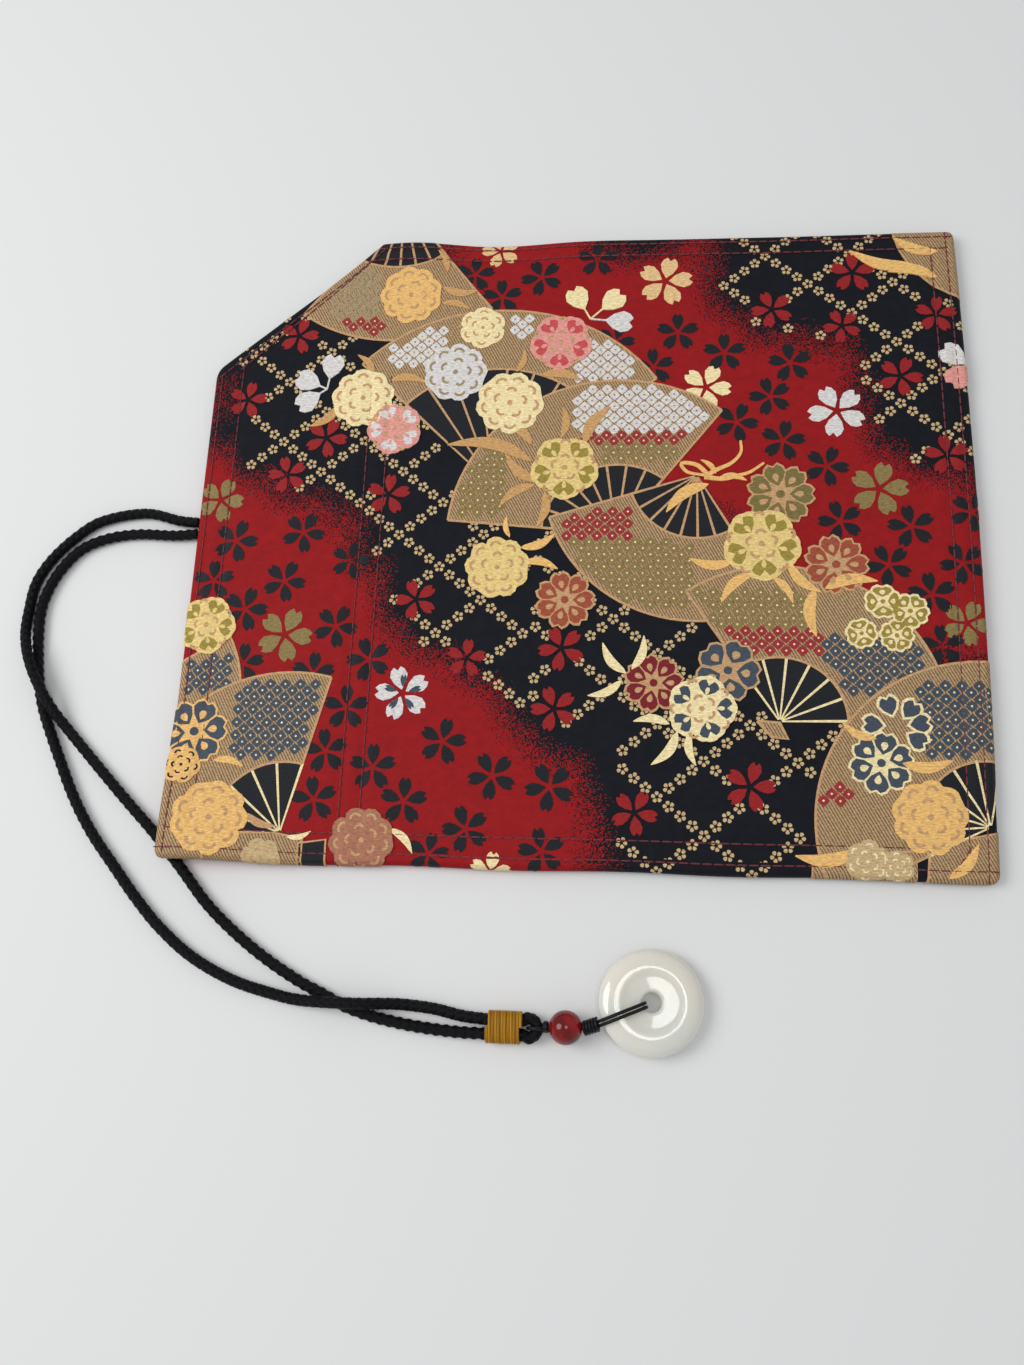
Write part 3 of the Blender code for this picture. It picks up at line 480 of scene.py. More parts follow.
class Look:
    """One material and its nodes."""

    def __init__(self, name, roughness=0.7, **fixed):
        self.material = bpy.data.materials.new(name)
        self.material.use_nodes = True
        self.tree = self.material.node_tree
        self.shader = self.tree.nodes["Principled BSDF"]
        self.shader.inputs["Roughness"].default_value = roughness
        for key, value in fixed.items():
            self.shader.inputs[key.replace("_", " ").title().replace("Ior", "IOR")].default_value = value

    def node(self, kind, settings=None, values=None, output=0):
        """Add a node, set it up, feed its sockets and give one output."""
        made = self.tree.nodes.new(kind)
        for key, value in (settings or {}).items():
            setattr(made, key, value)
        for key, value in (values or {}).items():
            if isinstance(value, Socket):
                self.tree.links.new(value.socket, made.inputs[key])
            else:
                made.inputs[key].default_value = value
        return Socket(self, made.outputs[output])

    def place(self):
        """The place on the piece, in metres."""
        return self.node("ShaderNodeTexCoord", output="Object")

    def axes(self, vector):
        """A vector's three numbers."""
        split = self.node("ShaderNodeSeparateXYZ", values={0: vector})
        return [Socket(self, out) for out in split.socket.node.outputs]

    def joined(self, x, y, z=0.0):
        """A vector from three numbers."""
        return self.node("ShaderNodeCombineXYZ", values={0: x, 1: y, 2: z})

    def noise(self, vector, scale, detail=2.0):
        """Smooth noise, from 0 to 1."""
        values = {"Vector": vector, "Scale": scale, "Detail": detail}
        return self.node("ShaderNodeTexNoise", values=values)

    def mix(self, share, low, high):
        """A blend of two colours."""
        values = {0: share, 6: low, 7: high}
        return self.node("ShaderNodeMix", {"data_type": "RGBA"}, values, output=2)

    def tinted(self, colour, amount):
        """A colour made darker or lighter by a number."""
        vector = self.joined(amount, amount, amount)
        values = {0: colour[:3], 1: vector}
        return self.node("ShaderNodeVectorMath", {"operation": "MULTIPLY"}, values)

    def colour(self, value):
        """Feed the base colour."""
        self.feed("Base Color", value)

    def feed(self, name, value):
        """Feed one of the shader's sockets."""
        self.tree.links.new(value.socket, self.shader.inputs[name])

    def bump(self, height, distance, strength=1.0):
        """Give the surface a relief."""
        values = {"Height": height, "Distance": distance, "Strength": strength}
        self.feed("Normal", self.node("ShaderNodeBump", values=values))


def rgba(colour):
    """A colour with full alpha."""
    return (*colour, 1.0)


def linked(name, data):
    """A new object in the scene."""
    made = bpy.data.objects.new(name, data)
    bpy.context.scene.collection.objects.link(made)
    return made


def mesh_from(name, bm):
    """A mesh with what a bmesh holds. The bmesh is freed."""
    mesh = bpy.data.meshes.new(name)
    bm.to_mesh(mesh)
    bm.free()
    return mesh


def band(bm, lower, upper):
    """A closed band of faces between two loops of as many corners."""
    for k, corner in enumerate(lower):
        j = (k + 1) % len(lower)
        bm.faces.new((corner, lower[j], upper[j], upper[k]))


def reshape(bm, places):
    """Move a bmesh's corners to new places."""
    for vert, place in zip(bm.verts, places):
        vert.co = place


def sheet_area(bm):
    """The area of one side of a thin closed sheet, in square metres."""
    return sum(face.calc_area() for face in bm.faces) / 2 * MM * MM


def ease(share):
    """A smooth step from 0 to 1."""
    return share**2 * (3.0 - 2.0 * share)


def spoke(centre, angle, reach):
    """The place at an angle and a reach from a centre."""
    return (centre[0] + reach * math.cos(angle), centre[1] + reach * math.sin(angle))


def distance_to(places, start, end):
    """How far places lie from the line between two points, and the nearest points on it."""
    run = end - start
    share = np.clip((places - start) @ run / (run @ run), 0.0, 1.0)
    foot = start + share[:, None] * run
    return np.linalg.norm(places - foot, axis=1), foot


def finish_mesh(name, bm, look, body="pouch", smooth=40.0):
    """Turn a bmesh in millimetres into a piece that rides on a body."""
    bmesh.ops.scale(bm, vec=(MM, MM, MM), verts=bm.verts)
    mesh = mesh_from(name, bm)
    mesh.materials.append(look)
    mesh.shade_smooth()
    mesh.set_sharp_from_angle(angle=math.radians(smooth))
    made = linked(name, mesh)
    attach(made, body)
    return made


def corners_of(inset):
    """The five corners of the outline, drawn in by inset."""
    x, y = WIDTH / 2, DEPTH / 2
    corners = [
        Vector((-x, -y)),
        Vector((x, -y)),
        Vector((x, y)),
        Vector((-x + CHAMFER_FAR, y)),
        Vector((-x, y - CHAMFER_SIDE)),
    ]
    moved = []
    for index, corner in enumerate(corners):
        way_in = (corner - corners[index - 1]).normalized()
        way_out = (corners[(index + 1) % 5] - corner).normalized()
        moved.append(corner + (way_out - way_in) * inset / math.sin(way_in.angle(way_out)))
    return moved


def outline(inset, step=CLOTH_STEP, turns=6):
    """The pouch's outline with round corners, counterclockwise, drawn in by inset."""
    corners = corners_of(inset)
    whole = corners_of(0.0)
    radii = [CORNER_R, CORNER_R, CORNER_R, CHAMFER_R, CHAMFER_R]
    bends = []
    for index, corner in enumerate(corners):
        way_in = (corner - corners[index - 1]).normalized()
        way_out = (corners[(index + 1) % 5] - corner).normalized()
        turn = way_in.angle(way_out)
        radius = max(radii[index] - inset, 0.05)
        centre = corner + (way_out - way_in) * radius / math.sin(turn)
        side = Vector((way_in.y, -way_in.x)) * radius
        bends.append([centre + Matrix.Rotation(turn * k / turns, 2) @ side for k in range(turns + 1)])
    points = []
    for index, bend in enumerate(bends):
        after = bends[(index + 1) % 5][0]
        pieces = math.ceil((whole[(index + 1) % 5] - whole[index]).length / step)
        points += bend + [bend[-1].lerp(after, k / pieces) for k in range(1, pieces)]
    return points


def fold_distance(x, y):
    """How far a place lies from the cord's line, towards the pouch."""
    across = (-math.sin(FOLD_DIRECTION), math.cos(FOLD_DIRECTION))
    return (x - FOLD_POINT[0]) * across[0] + (y - FOLD_POINT[1]) * across[1]


def row_dents(x, y):
    """How much the stitch rows pull the cloth down at each place."""
    dent = np.zeros_like(x)
    for start, end in ROWS:
        off, _ = distance_to(np.stack([x, y], axis=1), np.array(start), np.array(end))
        dent = np.maximum(dent, np.exp(-((off / ROW_DENT_W) ** 2)))
    return dent * ROW_DENT


def settle(places):
    """Give flat-lying places the cloth's own shape: lift, waves and quilting."""
    x, y, z = np.array(places, dtype=float).T
    share = np.clip((fold_distance(x, y) - FOLD_START) / FOLD_LENGTH, 0.0, 1.0)
    up = np.clip(z / THICKNESS, 0.0, 1.1)
    swell = np.sin(x / 17.0 + 1.0) * np.sin(y / 14.0 + 2.0) + 0.5 * np.sin(x / 7.0 - y / 9.0)
    rise = LIFT * (1.0 - ease(share))
    rise = rise + up * (SWELL * swell) - up * row_dents(x, y) * (z > 0.8 * THICKNESS)
    far = np.clip((y - 45.0) / 44.0, 0.0, 1.1) ** 2
    near = np.clip((-y - 70.0) / 19.0, 0.0, 1.1) ** 2
    right = np.clip((x - 40.0) / 63.0, 0.0, 1.1) ** 2
    far_wave = FAR_WAVE * np.cos((x + 50.0) / 9.9) * np.exp(-(((x + 45.0) / 42.0) ** 2))
    y = y + far * far_wave + near * NEAR_WAVE * np.sin(x / 8.5)
    x = x + right * (RIGHT_BULGE - RIGHT_DRAW * (y / 85.0) ** 2)
    return np.stack([x, y, z + rise], axis=1)


def drape(flat, height):
    """Lay flat places on the cover: level on its top, then round its rolled edge."""
    corners = np.array([tuple(c) for c in corners_of(EDGE_R)])
    best = np.full(len(flat), 1e9)
    nearest = np.zeros_like(flat)
    inside = np.ones(len(flat), dtype=bool)
    for start, end in zip(corners, np.roll(corners, -1, axis=0)):
        edge = end - start
        off = flat - start
        reach, foot = distance_to(flat, start, end)
        closer = reach < best
        best[closer] = reach[closer]
        nearest[closer] = foot[closer]
        inside &= edge[0] * off[:, 1] - edge[1] * off[:, 0] >= 0.0
    angle = np.where(inside, 0.0, best / EDGE_R)
    out = (flat - nearest) / np.maximum(best, 1e-9)[:, None]
    radius = EDGE_R + height
    rolled = nearest + out * (radius * np.sin(angle))[:, None]
    place = np.where(inside[:, None], flat, rolled)
    z = np.where(inside, THICKNESS + height, EDGE_R + radius * np.cos(angle))
    return settle(np.column_stack([place, z]))


def cut(bm, place, across, clear=False):
    """Cut a flat mesh along an upright plane."""
    bmesh.ops.bisect_plane(
        bm,
        geom=[*bm.verts, *bm.edges, *bm.faces],
        plane_co=(place[0], place[1], 0.0),
        plane_no=(across[0], across[1], 0.0),
        clear_outer=clear,
    )


def cut_for_fold(bm):
    """Cut a mesh along the lines of the lifted corner."""
    across = (-math.sin(FOLD_DIRECTION), math.cos(FOLD_DIRECTION))
    for number in range(FOLD_STEPS + 1):
        reach = FOLD_START + FOLD_LENGTH * number / FOLD_STEPS
        cut(bm, (FOLD_POINT[0] + across[0] * reach, FOLD_POINT[1] + across[1] * reach), across)


def cut_for_waves(bm, start):
    """Cut a mesh along two sets of lines, close enough to follow the cloth's swell."""
    for number in range(-10, 11):
        cut(bm, (number * 10.0 + start[0], 0.0), (1.0, 0.0))
        cut(bm, (0.0, number * 9.0 + start[1]), (0.0, 1.0))


def cut_for_cloth(bm):
    """Cut flat shapes where the cloth under them bends."""
    corners = corners_of(EDGE_R)
    for index, start in enumerate(corners):
        along = (corners[(index + 1) % 5] - start).normalized()
        out = (along.y, -along.x)
        for reach in (EDGE_WRAP, 2.6, 1.8, 1.0, 0.0):
            place = (start.x + out[0] * reach, start.y + out[1] * reach)
            cut(bm, place, out, clear=reach == EDGE_WRAP)
    for start, end in ROWS:
        run = (Vector(end) - Vector(start)).normalized()
        across = (run.y, -run.x)
        for off in (-1.6, -0.7, 0.0, 0.7, 1.6):
            cut(bm, (start[0] + across[0] * off, start[1] + across[1] * off), across)
    cut_for_waves(bm, (3.0, 2.0))
    cut_for_fold(bm)


def thread_work(name, shapes, look):
    """Shapes of floating thread, each a thin plate that lies on the cloth."""
    bm = bmesh.new()
    for level, points in shapes:
        verts = [bm.verts.new((x, y, level)) for x, y in points]
        bm.faces.new(verts)
    bmesh.ops.triangulate(bm, faces=bm.faces[:])
    cut_for_cloth(bm)
    roots = set(bm.verts)
    bmesh.ops.extrude_face_region(bm, geom=bm.faces[:], use_keep_orig=True)
    bm.verts.ensure_lookup_table()
    flat = np.array([(v.co.x, v.co.y) for v in bm.verts])
    height = np.array(
        [LEVEL_ROOT if v in roots else LEVEL_BASE + LEVEL_STEP * v.co.z for v in bm.verts]
    )
    reshape(bm, drape(flat, height))
    bmesh.ops.recalc_face_normals(bm, faces=bm.faces)
    return finish_mesh(name, bm, look, smooth=30.0)


def arc(centre, radius, first, last, step=4.0):
    """Points on an arc, angles in degrees."""
    count = max(2, math.ceil(abs(last - first) / step))
    angles = [math.radians(first + (last - first) * i / count) for i in range(count + 1)]
    return [spoke(centre, a, radius) for a in angles]


def strip(points, width, tip=1.0):
    """A band along a line of points, which narrows to a share of its width."""
    left, right = [], []
    for index, point in enumerate(points):
        before = Vector(points[max(index - 1, 0)])
        after = Vector(points[min(index + 1, len(points) - 1)])
        way = (after - before).normalized()
        share = index / (len(points) - 1)
        half = width / 2 * (1.0 + (tip - 1.0) * share)
        left.append((point[0] - way.y * half, point[1] + way.x * half))
        right.append((point[0] + way.y * half, point[1] - way.x * half))
    return left + right[::-1]


def petal(centre, turn, near, far, width, notch=0.12):
    """A petal that points away from a centre, with a notch in its tip."""
    length = far - near
    side = [
        (near, 0.0),
        (near + 0.30 * length, 0.34 * width),
        (near + 0.62 * length, 0.50 * width),
        (near + 0.86 * length, 0.40 * width),
        (far, 0.20 * width),
        (far - notch * length, 0.0),
    ]
    both = side + [(u, -v) for u, v in side[-2:0:-1]]
    c, s = math.cos(turn), math.sin(turn)
    return [(centre[0] + u * c - v * s, centre[1] + u * s + v * c) for u, v in both]


def ruffled(centre, radius, turn, lobes=5, depth=0.24, ruffle=0.06):
    """A round outline with deep lobes, each with small ruffles."""
    points = []
    corners = 60
    for index in range(corners):
        angle = math.tau * index / corners
        lobe = abs(math.sin(lobes * angle / 2)) ** 0.6
        small = abs(math.sin(lobes * 1.5 * angle)) ** 0.7
        reach = radius * (1.0 - depth + depth * lobe) * (1.0 - ruffle + ruffle * small)
        points.append(spoke(centre, angle + turn, reach))
    return points


def leaf_shape(start, end, bend=0.14, width=0.22):
    """A pointed leaf from its stem to its tip, slightly bent."""
    start, end = Vector(start), Vector(end)
    run = end - start
    side = Vector((-run.y, run.x))
    width = min(width, LEAF_W / run.length)
    left, right = [], []
    for index in range(9):
        share = index / 8
        half = width * math.sin(math.pi * share**0.8) ** 0.8 + 0.02
        middle = start + run * share + side * (bend * math.sin(math.pi * share))
        left.append(tuple(middle + side * half / 2))
        right.append(tuple(middle - side * half / 2))
    return left + right[::-1]


def polygon_depth(x, y, shape):
    """How far places lie inside a closed shape, negative outside."""
    shape = np.array(shape, dtype=float)
    places = np.stack([x, y], axis=1)
    best = np.full(len(x), 1e9)
    inside = np.zeros(len(x), dtype=bool)
    for start, end in zip(shape, np.roll(shape, -1, axis=0)):
        run = end - start
        best = np.minimum(best, distance_to(places, start, end)[0])
        crosses = (start[1] > y) != (end[1] > y)
        rise = end[1] - start[1] if end[1] != start[1] else 1e-9
        inside ^= crosses & (x < start[0] + (y - start[1]) * run[0] / rise)
    return np.where(inside, best, -best)


def darkness(x, y):
    """How dark the ground is woven at places, from 0 for red to 1 for black."""
    depth = polygon_depth(x, y, DARK_BAND)
    for shape in (DARK_CORNER, DARK_PATCH):
        depth = np.maximum(depth, polygon_depth(x, y, shape))
    uneven = 1.6 * np.sin(x / 6.0 + 2.0) * np.sin(y / 5.0) + 0.9 * np.sin(x / 2.9 - y / 3.7)
    border = 3.5 * np.clip((-92.0 - x) / 4.0, 0.0, 1.0) * np.clip((52.0 - y) / 4.0, 0.0, 1.0)
    depth = np.minimum(depth, MIST_W + 3.0) - 1.8 * border * (y > 10.0)
    return ease(np.clip(0.5 + (depth + uneven) / (2 * MIST_W), 0.0, 1.0))


def fan_polar(fan, x, y):
    """A place's radius and share of the way round a fan."""
    pivot, _, _, first, last, _, _ = fan
    radius = math.hypot(x - pivot[0], y - pivot[1])
    angle = math.degrees(math.atan2(y - pivot[1], x - pivot[0]))
    middle = (first + last) / 2
    angle = middle + (angle - middle + 180.0) % 360.0 - 180.0
    return radius, (angle - first) / (last - first)


def on_fan(fan, x, y, margin=1.6):
    """Whether a place lies on the painted leaf of a fan."""
    radius, share = fan_polar(fan, x, y)
    off = margin / max(radius, 1.0) / math.radians(fan[4] - fan[3])
    return fan[2] + margin < radius < fan[1] - margin and off < share < 1.0 - off


def under_fan(x, y, above=-1):
    """Whether any fan above a level covers a place."""
    for fan in FANS:
        radius, share = fan_polar(fan, x, y)
        if fan[5] > above and radius < fan[1] and 0.0 < share < 1.0:
            return True
    return False


def add_fans(work):
    """The fans: leaf, dark rib field, ribs and outline."""
    for pivot, outer, inner, first, last, level, ribs in FANS:
        leaf = arc(pivot, outer, first, last) + arc(pivot, inner, last, first)
        work["leaf"].append((level, leaf))
        work["black"].append((level - 0.2, [pivot, *arc(pivot, inner + 0.2, first, last)]))
        silk = "cream" if pivot[1] < -40 else "gold"
        for number in range(ribs + 1):
            angle = math.radians(first + (last - first) * number / ribs)
            line = [spoke(pivot, angle, r) for r in (0.5, inner * 0.5, inner + 0.3)]
            work[silk].append((level + 0.4, strip(line, FAN_RIB_W * 0.6, 1.9)))
        for radius in (outer, inner):
            work["gold"].append((level + 0.6, strip(arc(pivot, radius, first, last), FAN_EDGE_W)))
        for angle in (first, last):
            side = [spoke(pivot, math.radians(angle), r) for r in (inner, outer)]
            work["gold"].append((level + 0.6, strip(side, FAN_EDGE_W)))
    for colour, patch in PATCHES:
        work[colour].append((PATCH_LEVEL, patch))
        work["gold"].append((PATCH_LEVEL + 0.7, strip([*patch, patch[0]], FAN_EDGE_W)))
    for ribbon in RIBBONS:
        line = [tuple(p)[:2] for p in smooth_route([(*p, 0.0) for p in ribbon], 0.8)]
        work["amber"].append((RIBBON_LEVEL, strip(line, RIBBON_W, 0.5)))


def add_rosettes(work):
    """Round blossoms: each petal has an outline, a coloured field and a light heart."""
    for number, (x, y, radius, colour, edge, petals) in enumerate(ROSETTES):
        turn = number * 0.9
        level = ROSETTE_LEVEL + 0.05 * number
        wide = math.tau * 0.70 / petals * radius
        for index in range(petals):
            angle = turn + math.tau * index / petals
            outer = petal((x, y), angle, 0.05 * radius, radius, wide + 1.0, 0.10)
            field = petal((x, y), angle, 0.26 * radius, radius - 0.65, wide - 0.3, 0.12)
            heart = petal((x, y), angle, 0.38 * radius, 0.66 * radius, 0.30 * wide, 0.0)
            work[edge].append((level, outer))
            work[colour].append((level + 0.7, field))
            work[edge].append((level + 1.3, heart))
        work[edge].append((level + 0.4, arc((x, y), 0.28 * radius, 0, 345, 15)))
        work[colour].append((level + 1.6, arc((x, y), 0.13 * radius, 0, 330, 30)))
    middle, directions = LOOSE_BLOSSOM
    for direction in directions:
        angle = math.radians(direction)
        work["cream"].append((LOOSE_LEVEL, petal(middle, angle, 2.4, 8.6, 5.8, 0.14)))
        work["blue"].append((LOOSE_LEVEL + 0.7, petal(middle, angle, 3.2, 7.9, 4.4, 0.18)))


def add_peonies(work):
    """Full blossoms: a lobed ground with crescents on it, or with a coloured field in each of five lobes."""
    for number, (x, y, radius, colour, stroke) in enumerate(PEONIES):
        turn = number * 1.3
        level = PEONY_LEVEL + 0.04 * number
        filled = stroke in FILLED
        lobes = 5 if filled else 9 if radius > 7 else 6
        work[colour].append((level, ruffled((x, y), radius, turn, lobes, 0.20 if filled else 0.15, 0.03)))
        if filled:
            for index in range(lobes):
                angle = turn + math.tau * (index + 0.5) / lobes
                field = petal((x, y), angle, 0.40 * radius, 0.86 * radius, 0.62 * radius, 0.34)
                vein = petal((x, y), angle, 0.40 * radius, 0.64 * radius, 0.13 * radius, 0.0)
                work[stroke].append((level + 0.7, field))
                work[colour].append((level + 1.3, vein))
        rows = ((0.66, 0.155, lobes, 0.5), (0.34, 0.13, 5, 0.0))
        if filled:
            rows, stroke = ((0.27, 0.12, 5, 0.0), (0.74, 0.13, 5, 0.0)), "gold"
        for share, size, count, off in rows:
            for index in range(count):
                angle = turn + math.tau * (index + off) / count
                middle = math.degrees(angle)
                place = spoke((x, y), angle, radius * share)
                curl = arc(place, size * radius, middle - 75, middle + 75, 25)
                work[stroke].append((level + 0.9, strip(curl, 0.075 * radius + 0.10, 0.8)))
        work[stroke].append((level + 0.9, arc((x, y), 0.08 * radius, 0, 330, 30)))


def add_leaves_and_hearts(work):
    """Leaves beside the blossoms, and loose heart petals."""
    for number, (start, end, colour) in enumerate(LEAVES):
        bend = 0.12 if number % 2 else -0.12
        work[colour].append((LEAF_LEVEL, leaf_shape(start, end, bend)))
    for place, target, colour in HEARTS:
        turn = math.atan2(place[1] - target[1], place[0] - target[0])
        work[colour].append((HEART_LEVEL, petal(place, turn, -4.0, 3.8, 6.6, 0.14)))
        work[colour].append((HEART_LEVEL - 0.1, strip([target, place], 0.45)))


def points_object(name, places):
    """A mesh of bare points with a turn and a size at each."""
    mesh = bpy.data.meshes.new(name)
    mesh.from_pydata([(x * MM, y * MM, level * MM) for x, y, level, _, _ in places], [], [])
    for column, label in ((3, "turn"), (4, "size")):
        layer = mesh.attributes.new(label, "FLOAT", "POINT")
        layer.data.foreach_set("value", [place[column] for place in places])
    return linked(name, mesh)


def shape_object(name, shapes):
    """A flat mesh of outlines, one unit across, for instancing."""
    bm = bmesh.new()
    for points in shapes:
        bm.faces.new([bm.verts.new((x * MM, y * MM, 0.0)) for x, y in points])
    return linked(name, mesh_from(name, bm))


def tree_start(name, inputs):
    """A Geometry Nodes tree with its group sockets."""
    tree = bpy.data.node_groups.new(name, "GeometryNodeTree")
    tree.interface.new_socket("Geometry", in_out="INPUT", socket_type="NodeSocketGeometry")
    tree.interface.new_socket("Geometry", in_out="OUTPUT", socket_type="NodeSocketGeometry")
    for label, kind in inputs:
        tree.interface.new_socket(label, in_out="INPUT", socket_type=kind)
    return tree, tree.nodes.new("NodeGroupInput"), tree.nodes.new("NodeGroupOutput")


def wire(tree, *links):
    """Join sockets. Each link is a node, its output, another node and its input."""
    for giver, output, taker, taken in links:
        tree.links.new(giver.outputs[output], taker.inputs[taken])


def tree_end(tree, put, source, target):
    """Realize the instances and give them their material."""
    real = tree.nodes.new("GeometryNodeRealizeInstances")
    paint = tree.nodes.new("GeometryNodeSetMaterial")
    wire(
        tree,
        (put, 0, real, 0),
        (real, 0, paint, "Geometry"),
        (source, "Material", paint, "Material"),
        (paint, 0, target, 0),
    )


def named_value(tree, name):
    """A node that reads a number stored on each point."""
    node = tree.nodes.new("GeometryNodeInputNamedAttribute")
    node.data_type = "FLOAT"
    node.inputs["Name"].default_value = name
    return node


def scatter_tree():
    """Puts a flat shape on each point, turned and sized by the point."""
    inputs = [("Shape", "NodeSocketObject"), ("Size", "NodeSocketFloat"), ("Material", "NodeSocketMaterial")]
    tree, source, target = tree_start("Scatter shapes", inputs)
    info = tree.nodes.new("GeometryNodeObjectInfo")
    put = tree.nodes.new("GeometryNodeInstanceOnPoints")
    turn, size = named_value(tree, "turn"), named_value(tree, "size")
    spin = tree.nodes.new("ShaderNodeCombineXYZ")
    scale = tree.nodes.new("ShaderNodeMath")
    scale.operation = "MULTIPLY"
    wire(
        tree,
        (source, "Shape", info, "Object"),
        (turn, "Attribute", spin, "Z"),
        (size, "Attribute", scale, 0),
        (source, "Size", scale, 1),
        (source, "Geometry", put, "Points"),
        (info, "Geometry", put, "Instance"),
        (spin, 0, put, "Rotation"),
        (scale, 0, put, "Scale"),
    )
    tree_end(tree, put, source, target)
    return tree


def stitch_tree():
    """Lays short stitches end to end along each line."""
    inputs = [
        ("Pitch", "NodeSocketFloat"), ("Stitch", "NodeSocketObject"), ("Material", "NodeSocketMaterial"),
    ]
    tree, source, target = tree_start("Stitch lines", inputs)
    dots = tree.nodes.new("GeometryNodeCurveToPoints")
    dots.mode = "LENGTH"
    info = tree.nodes.new("GeometryNodeObjectInfo")
    put = tree.nodes.new("GeometryNodeInstanceOnPoints")
    wire(
        tree,
        (source, "Geometry", dots, "Curve"),
        (source, "Pitch", dots, "Length"),
        (source, "Stitch", info, "Object"),
        (dots, "Points", put, "Points"),
        (dots, "Rotation", put, "Rotation"),
        (info, "Geometry", put, "Instance"),
    )
    tree_end(tree, put, source, target)
    return tree


def run_tree(carrier, tree, values):
    """Run a tree on an object and give the plain mesh that it makes."""
    modifier = carrier.modifiers.new("nodes", "NODES")
    modifier.node_group = tree
    for item in tree.interface.items_tree:
        if item.in_out == "INPUT" and item.name in values:
            modifier[item.identifier] = values[item.name]
    depsgraph = bpy.context.evaluated_depsgraph_get()
    mesh = bpy.data.meshes.new_from_object(carrier.evaluated_get(depsgraph))
    carrier.modifiers.remove(modifier)
    return mesh


def scattered(name, shapes, places, look):
    """Outlines of one shape put at many places, as level and points."""
    shape = shape_object(name + "_shape", shapes)
    carrier = points_object(name + "_points", places)
    values = {"Shape": shape, "Size": 1.0, "Material": look}
    mesh = run_tree(carrier, scatter_tree(), values)
    outlines = []
    for polygon in mesh.polygons:
        corners = [mesh.vertices[i].co / MM for i in polygon.vertices]
        outlines.append((corners[0].z, [(c.x, c.y) for c in corners]))
    for item in (shape, carrier):
        bpy.data.objects.remove(item)
    bpy.data.meshes.remove(mesh)
    return outlines


def blossom_shape(width):
    """Five separate petals, one unit in radius."""
    return [petal((0, 0), math.pi / 2 + math.tau * i / 5, 0.13, 1.0, width, 0.16) for i in range(5)]


def dot_shape():
    """A tie-dye dot: five small petals round an empty middle."""
    made = []
    half = [(0.30, 0.10), (0.62, 0.34), (0.90, 0.30), (1.0, 0.10)]
    both = half + [(u, -v) for u, v in half[::-1]]
    for index in range(5):
        c, s = math.cos(index * math.tau / 5), math.sin(index * math.tau / 5)
        made.append([(u * c - v * s, u * s + v * c) for u, v in both])
    return made


def knot_dot_shape():
    """A soft tie-dye dot for the fans: a lozenge with rounded sides."""
    reaches = (1.0, 0.80) * 4
    angles = [math.pi / 4 * k for k in range(8)]
    return [[(r * math.cos(a), r * math.sin(a)) for r, a in zip(reaches, angles)]]


def trellis_places():
    """The dots of the diamond trellis, where the ground is dark and bare."""
    step_x, step_y = TRELLIS_STEP
    found = []
    for origin, allowed in TRELLISES:
        for i in range(-20, 21):
            for j in range(-20, 21):
                x0 = origin[0] + step_x * (i + j)
                y0 = origin[1] + step_y * (j - i)
                for slope, dot in [(1, 0), *((s, d) for s in (1, -1) for d in range(1, TRELLIS_DOTS))]:
                    share = dot / TRELLIS_DOTS
                    x, y = x0 + step_x * share, y0 + slope * step_y * share
                    bare = all(math.hypot(x - a, y - b) > r + TRELLIS_CLEAR for a, b, r in BLOSSOMS["red"])
                    if abs(x) < 104 and abs(y) < 90 and bare and allowed(x, y) and not under_fan(x, y):
                        found.append((x, y, DOT_LEVEL, (x * 0.37 + y * 0.91) % 1.2, TRELLIS_DOT))
    dark = darkness(np.array([p[0] for p in found]), np.array([p[1] for p in found]))
    return [place for place, share in zip(found, dark) if share > TRELLIS_DARK]


def fan_dot_places(colour):
    """The tie-dye dots of one colour on the fans."""
    step_x, step_y = FAN_DOT_STEP
    found = []
    for name, number, x_from, x_to, y_from, y_to in DOT_FIELDS:
        if name != colour:
            continue
        fan = FANS[number]
        rows = range(int(y_from / step_y), int(y_to / step_y) + 1)
        for row in rows:
            shift = step_x * (row % 2)
            for column in range(int(x_from / step_x / 2) - 1, int(x_to / step_x / 2) + 2):
                x, y = 2 * step_x * column + shift, step_y * row
                inside = x_from <= x <= x_to and y_from <= y <= y_to
                if inside and on_fan(fan, x, y) and not under_fan(x, y, fan[5]):
                    found.append((x, y, fan[5] + FAN_DOT_RISE, 0.0, FAN_DOT))
    return found


def woven(name, colour, hatched=False):
    """Woven thread: ribs along the weft, with light and dark slubs. The colour is darker in the grooves
    between the ribs, which is painted shade, and the streaks along the weft are partly the threads' own tone
    and partly painted sheen.
    """
    sizes = bpy.context.scene.pouch_sizes
    look = Look(name, roughness=0.5, specular_ior_level=0.25)
    x, y, z = look.axes(look.place())
    pitch = sizes.thread_pitch
    row = (y + z) / pitch
    along = look.noise(look.joined(x * 900.0, row * 0.9, 0.0), 1.0, 1.0)
    ribs = (row * math.tau).math("SINE") * 0.5 + 0.5
    # Painted shade and sheen: the ribs darken the colour in their grooves, and the streaks along the weft
    # brighten and darken it
    shade = along * 1.1 + ribs * 0.26 + 0.34
    tone = look.tinted(rgba(colour), shade)
    if hatched:
        slant = ((x + y * 0.55) / (pitch * 2.35) * math.tau).math("SINE") * 0.5 + 0.5
        holes = look.noise(look.joined(x * 1500.0, row * 1.3, 0.0), 1.0, 1.0)
        dark = ((slant * 0.6 + holes * 0.8) < 0.58) * 0.8
        tone = look.mix(dark, tone, rgba((0.09, 0.035, 0.025)))
    look.colour(tone)
    look.bump(ribs * 0.6 + along * 0.7, 0.09 * MM, 0.7)
    return look.material


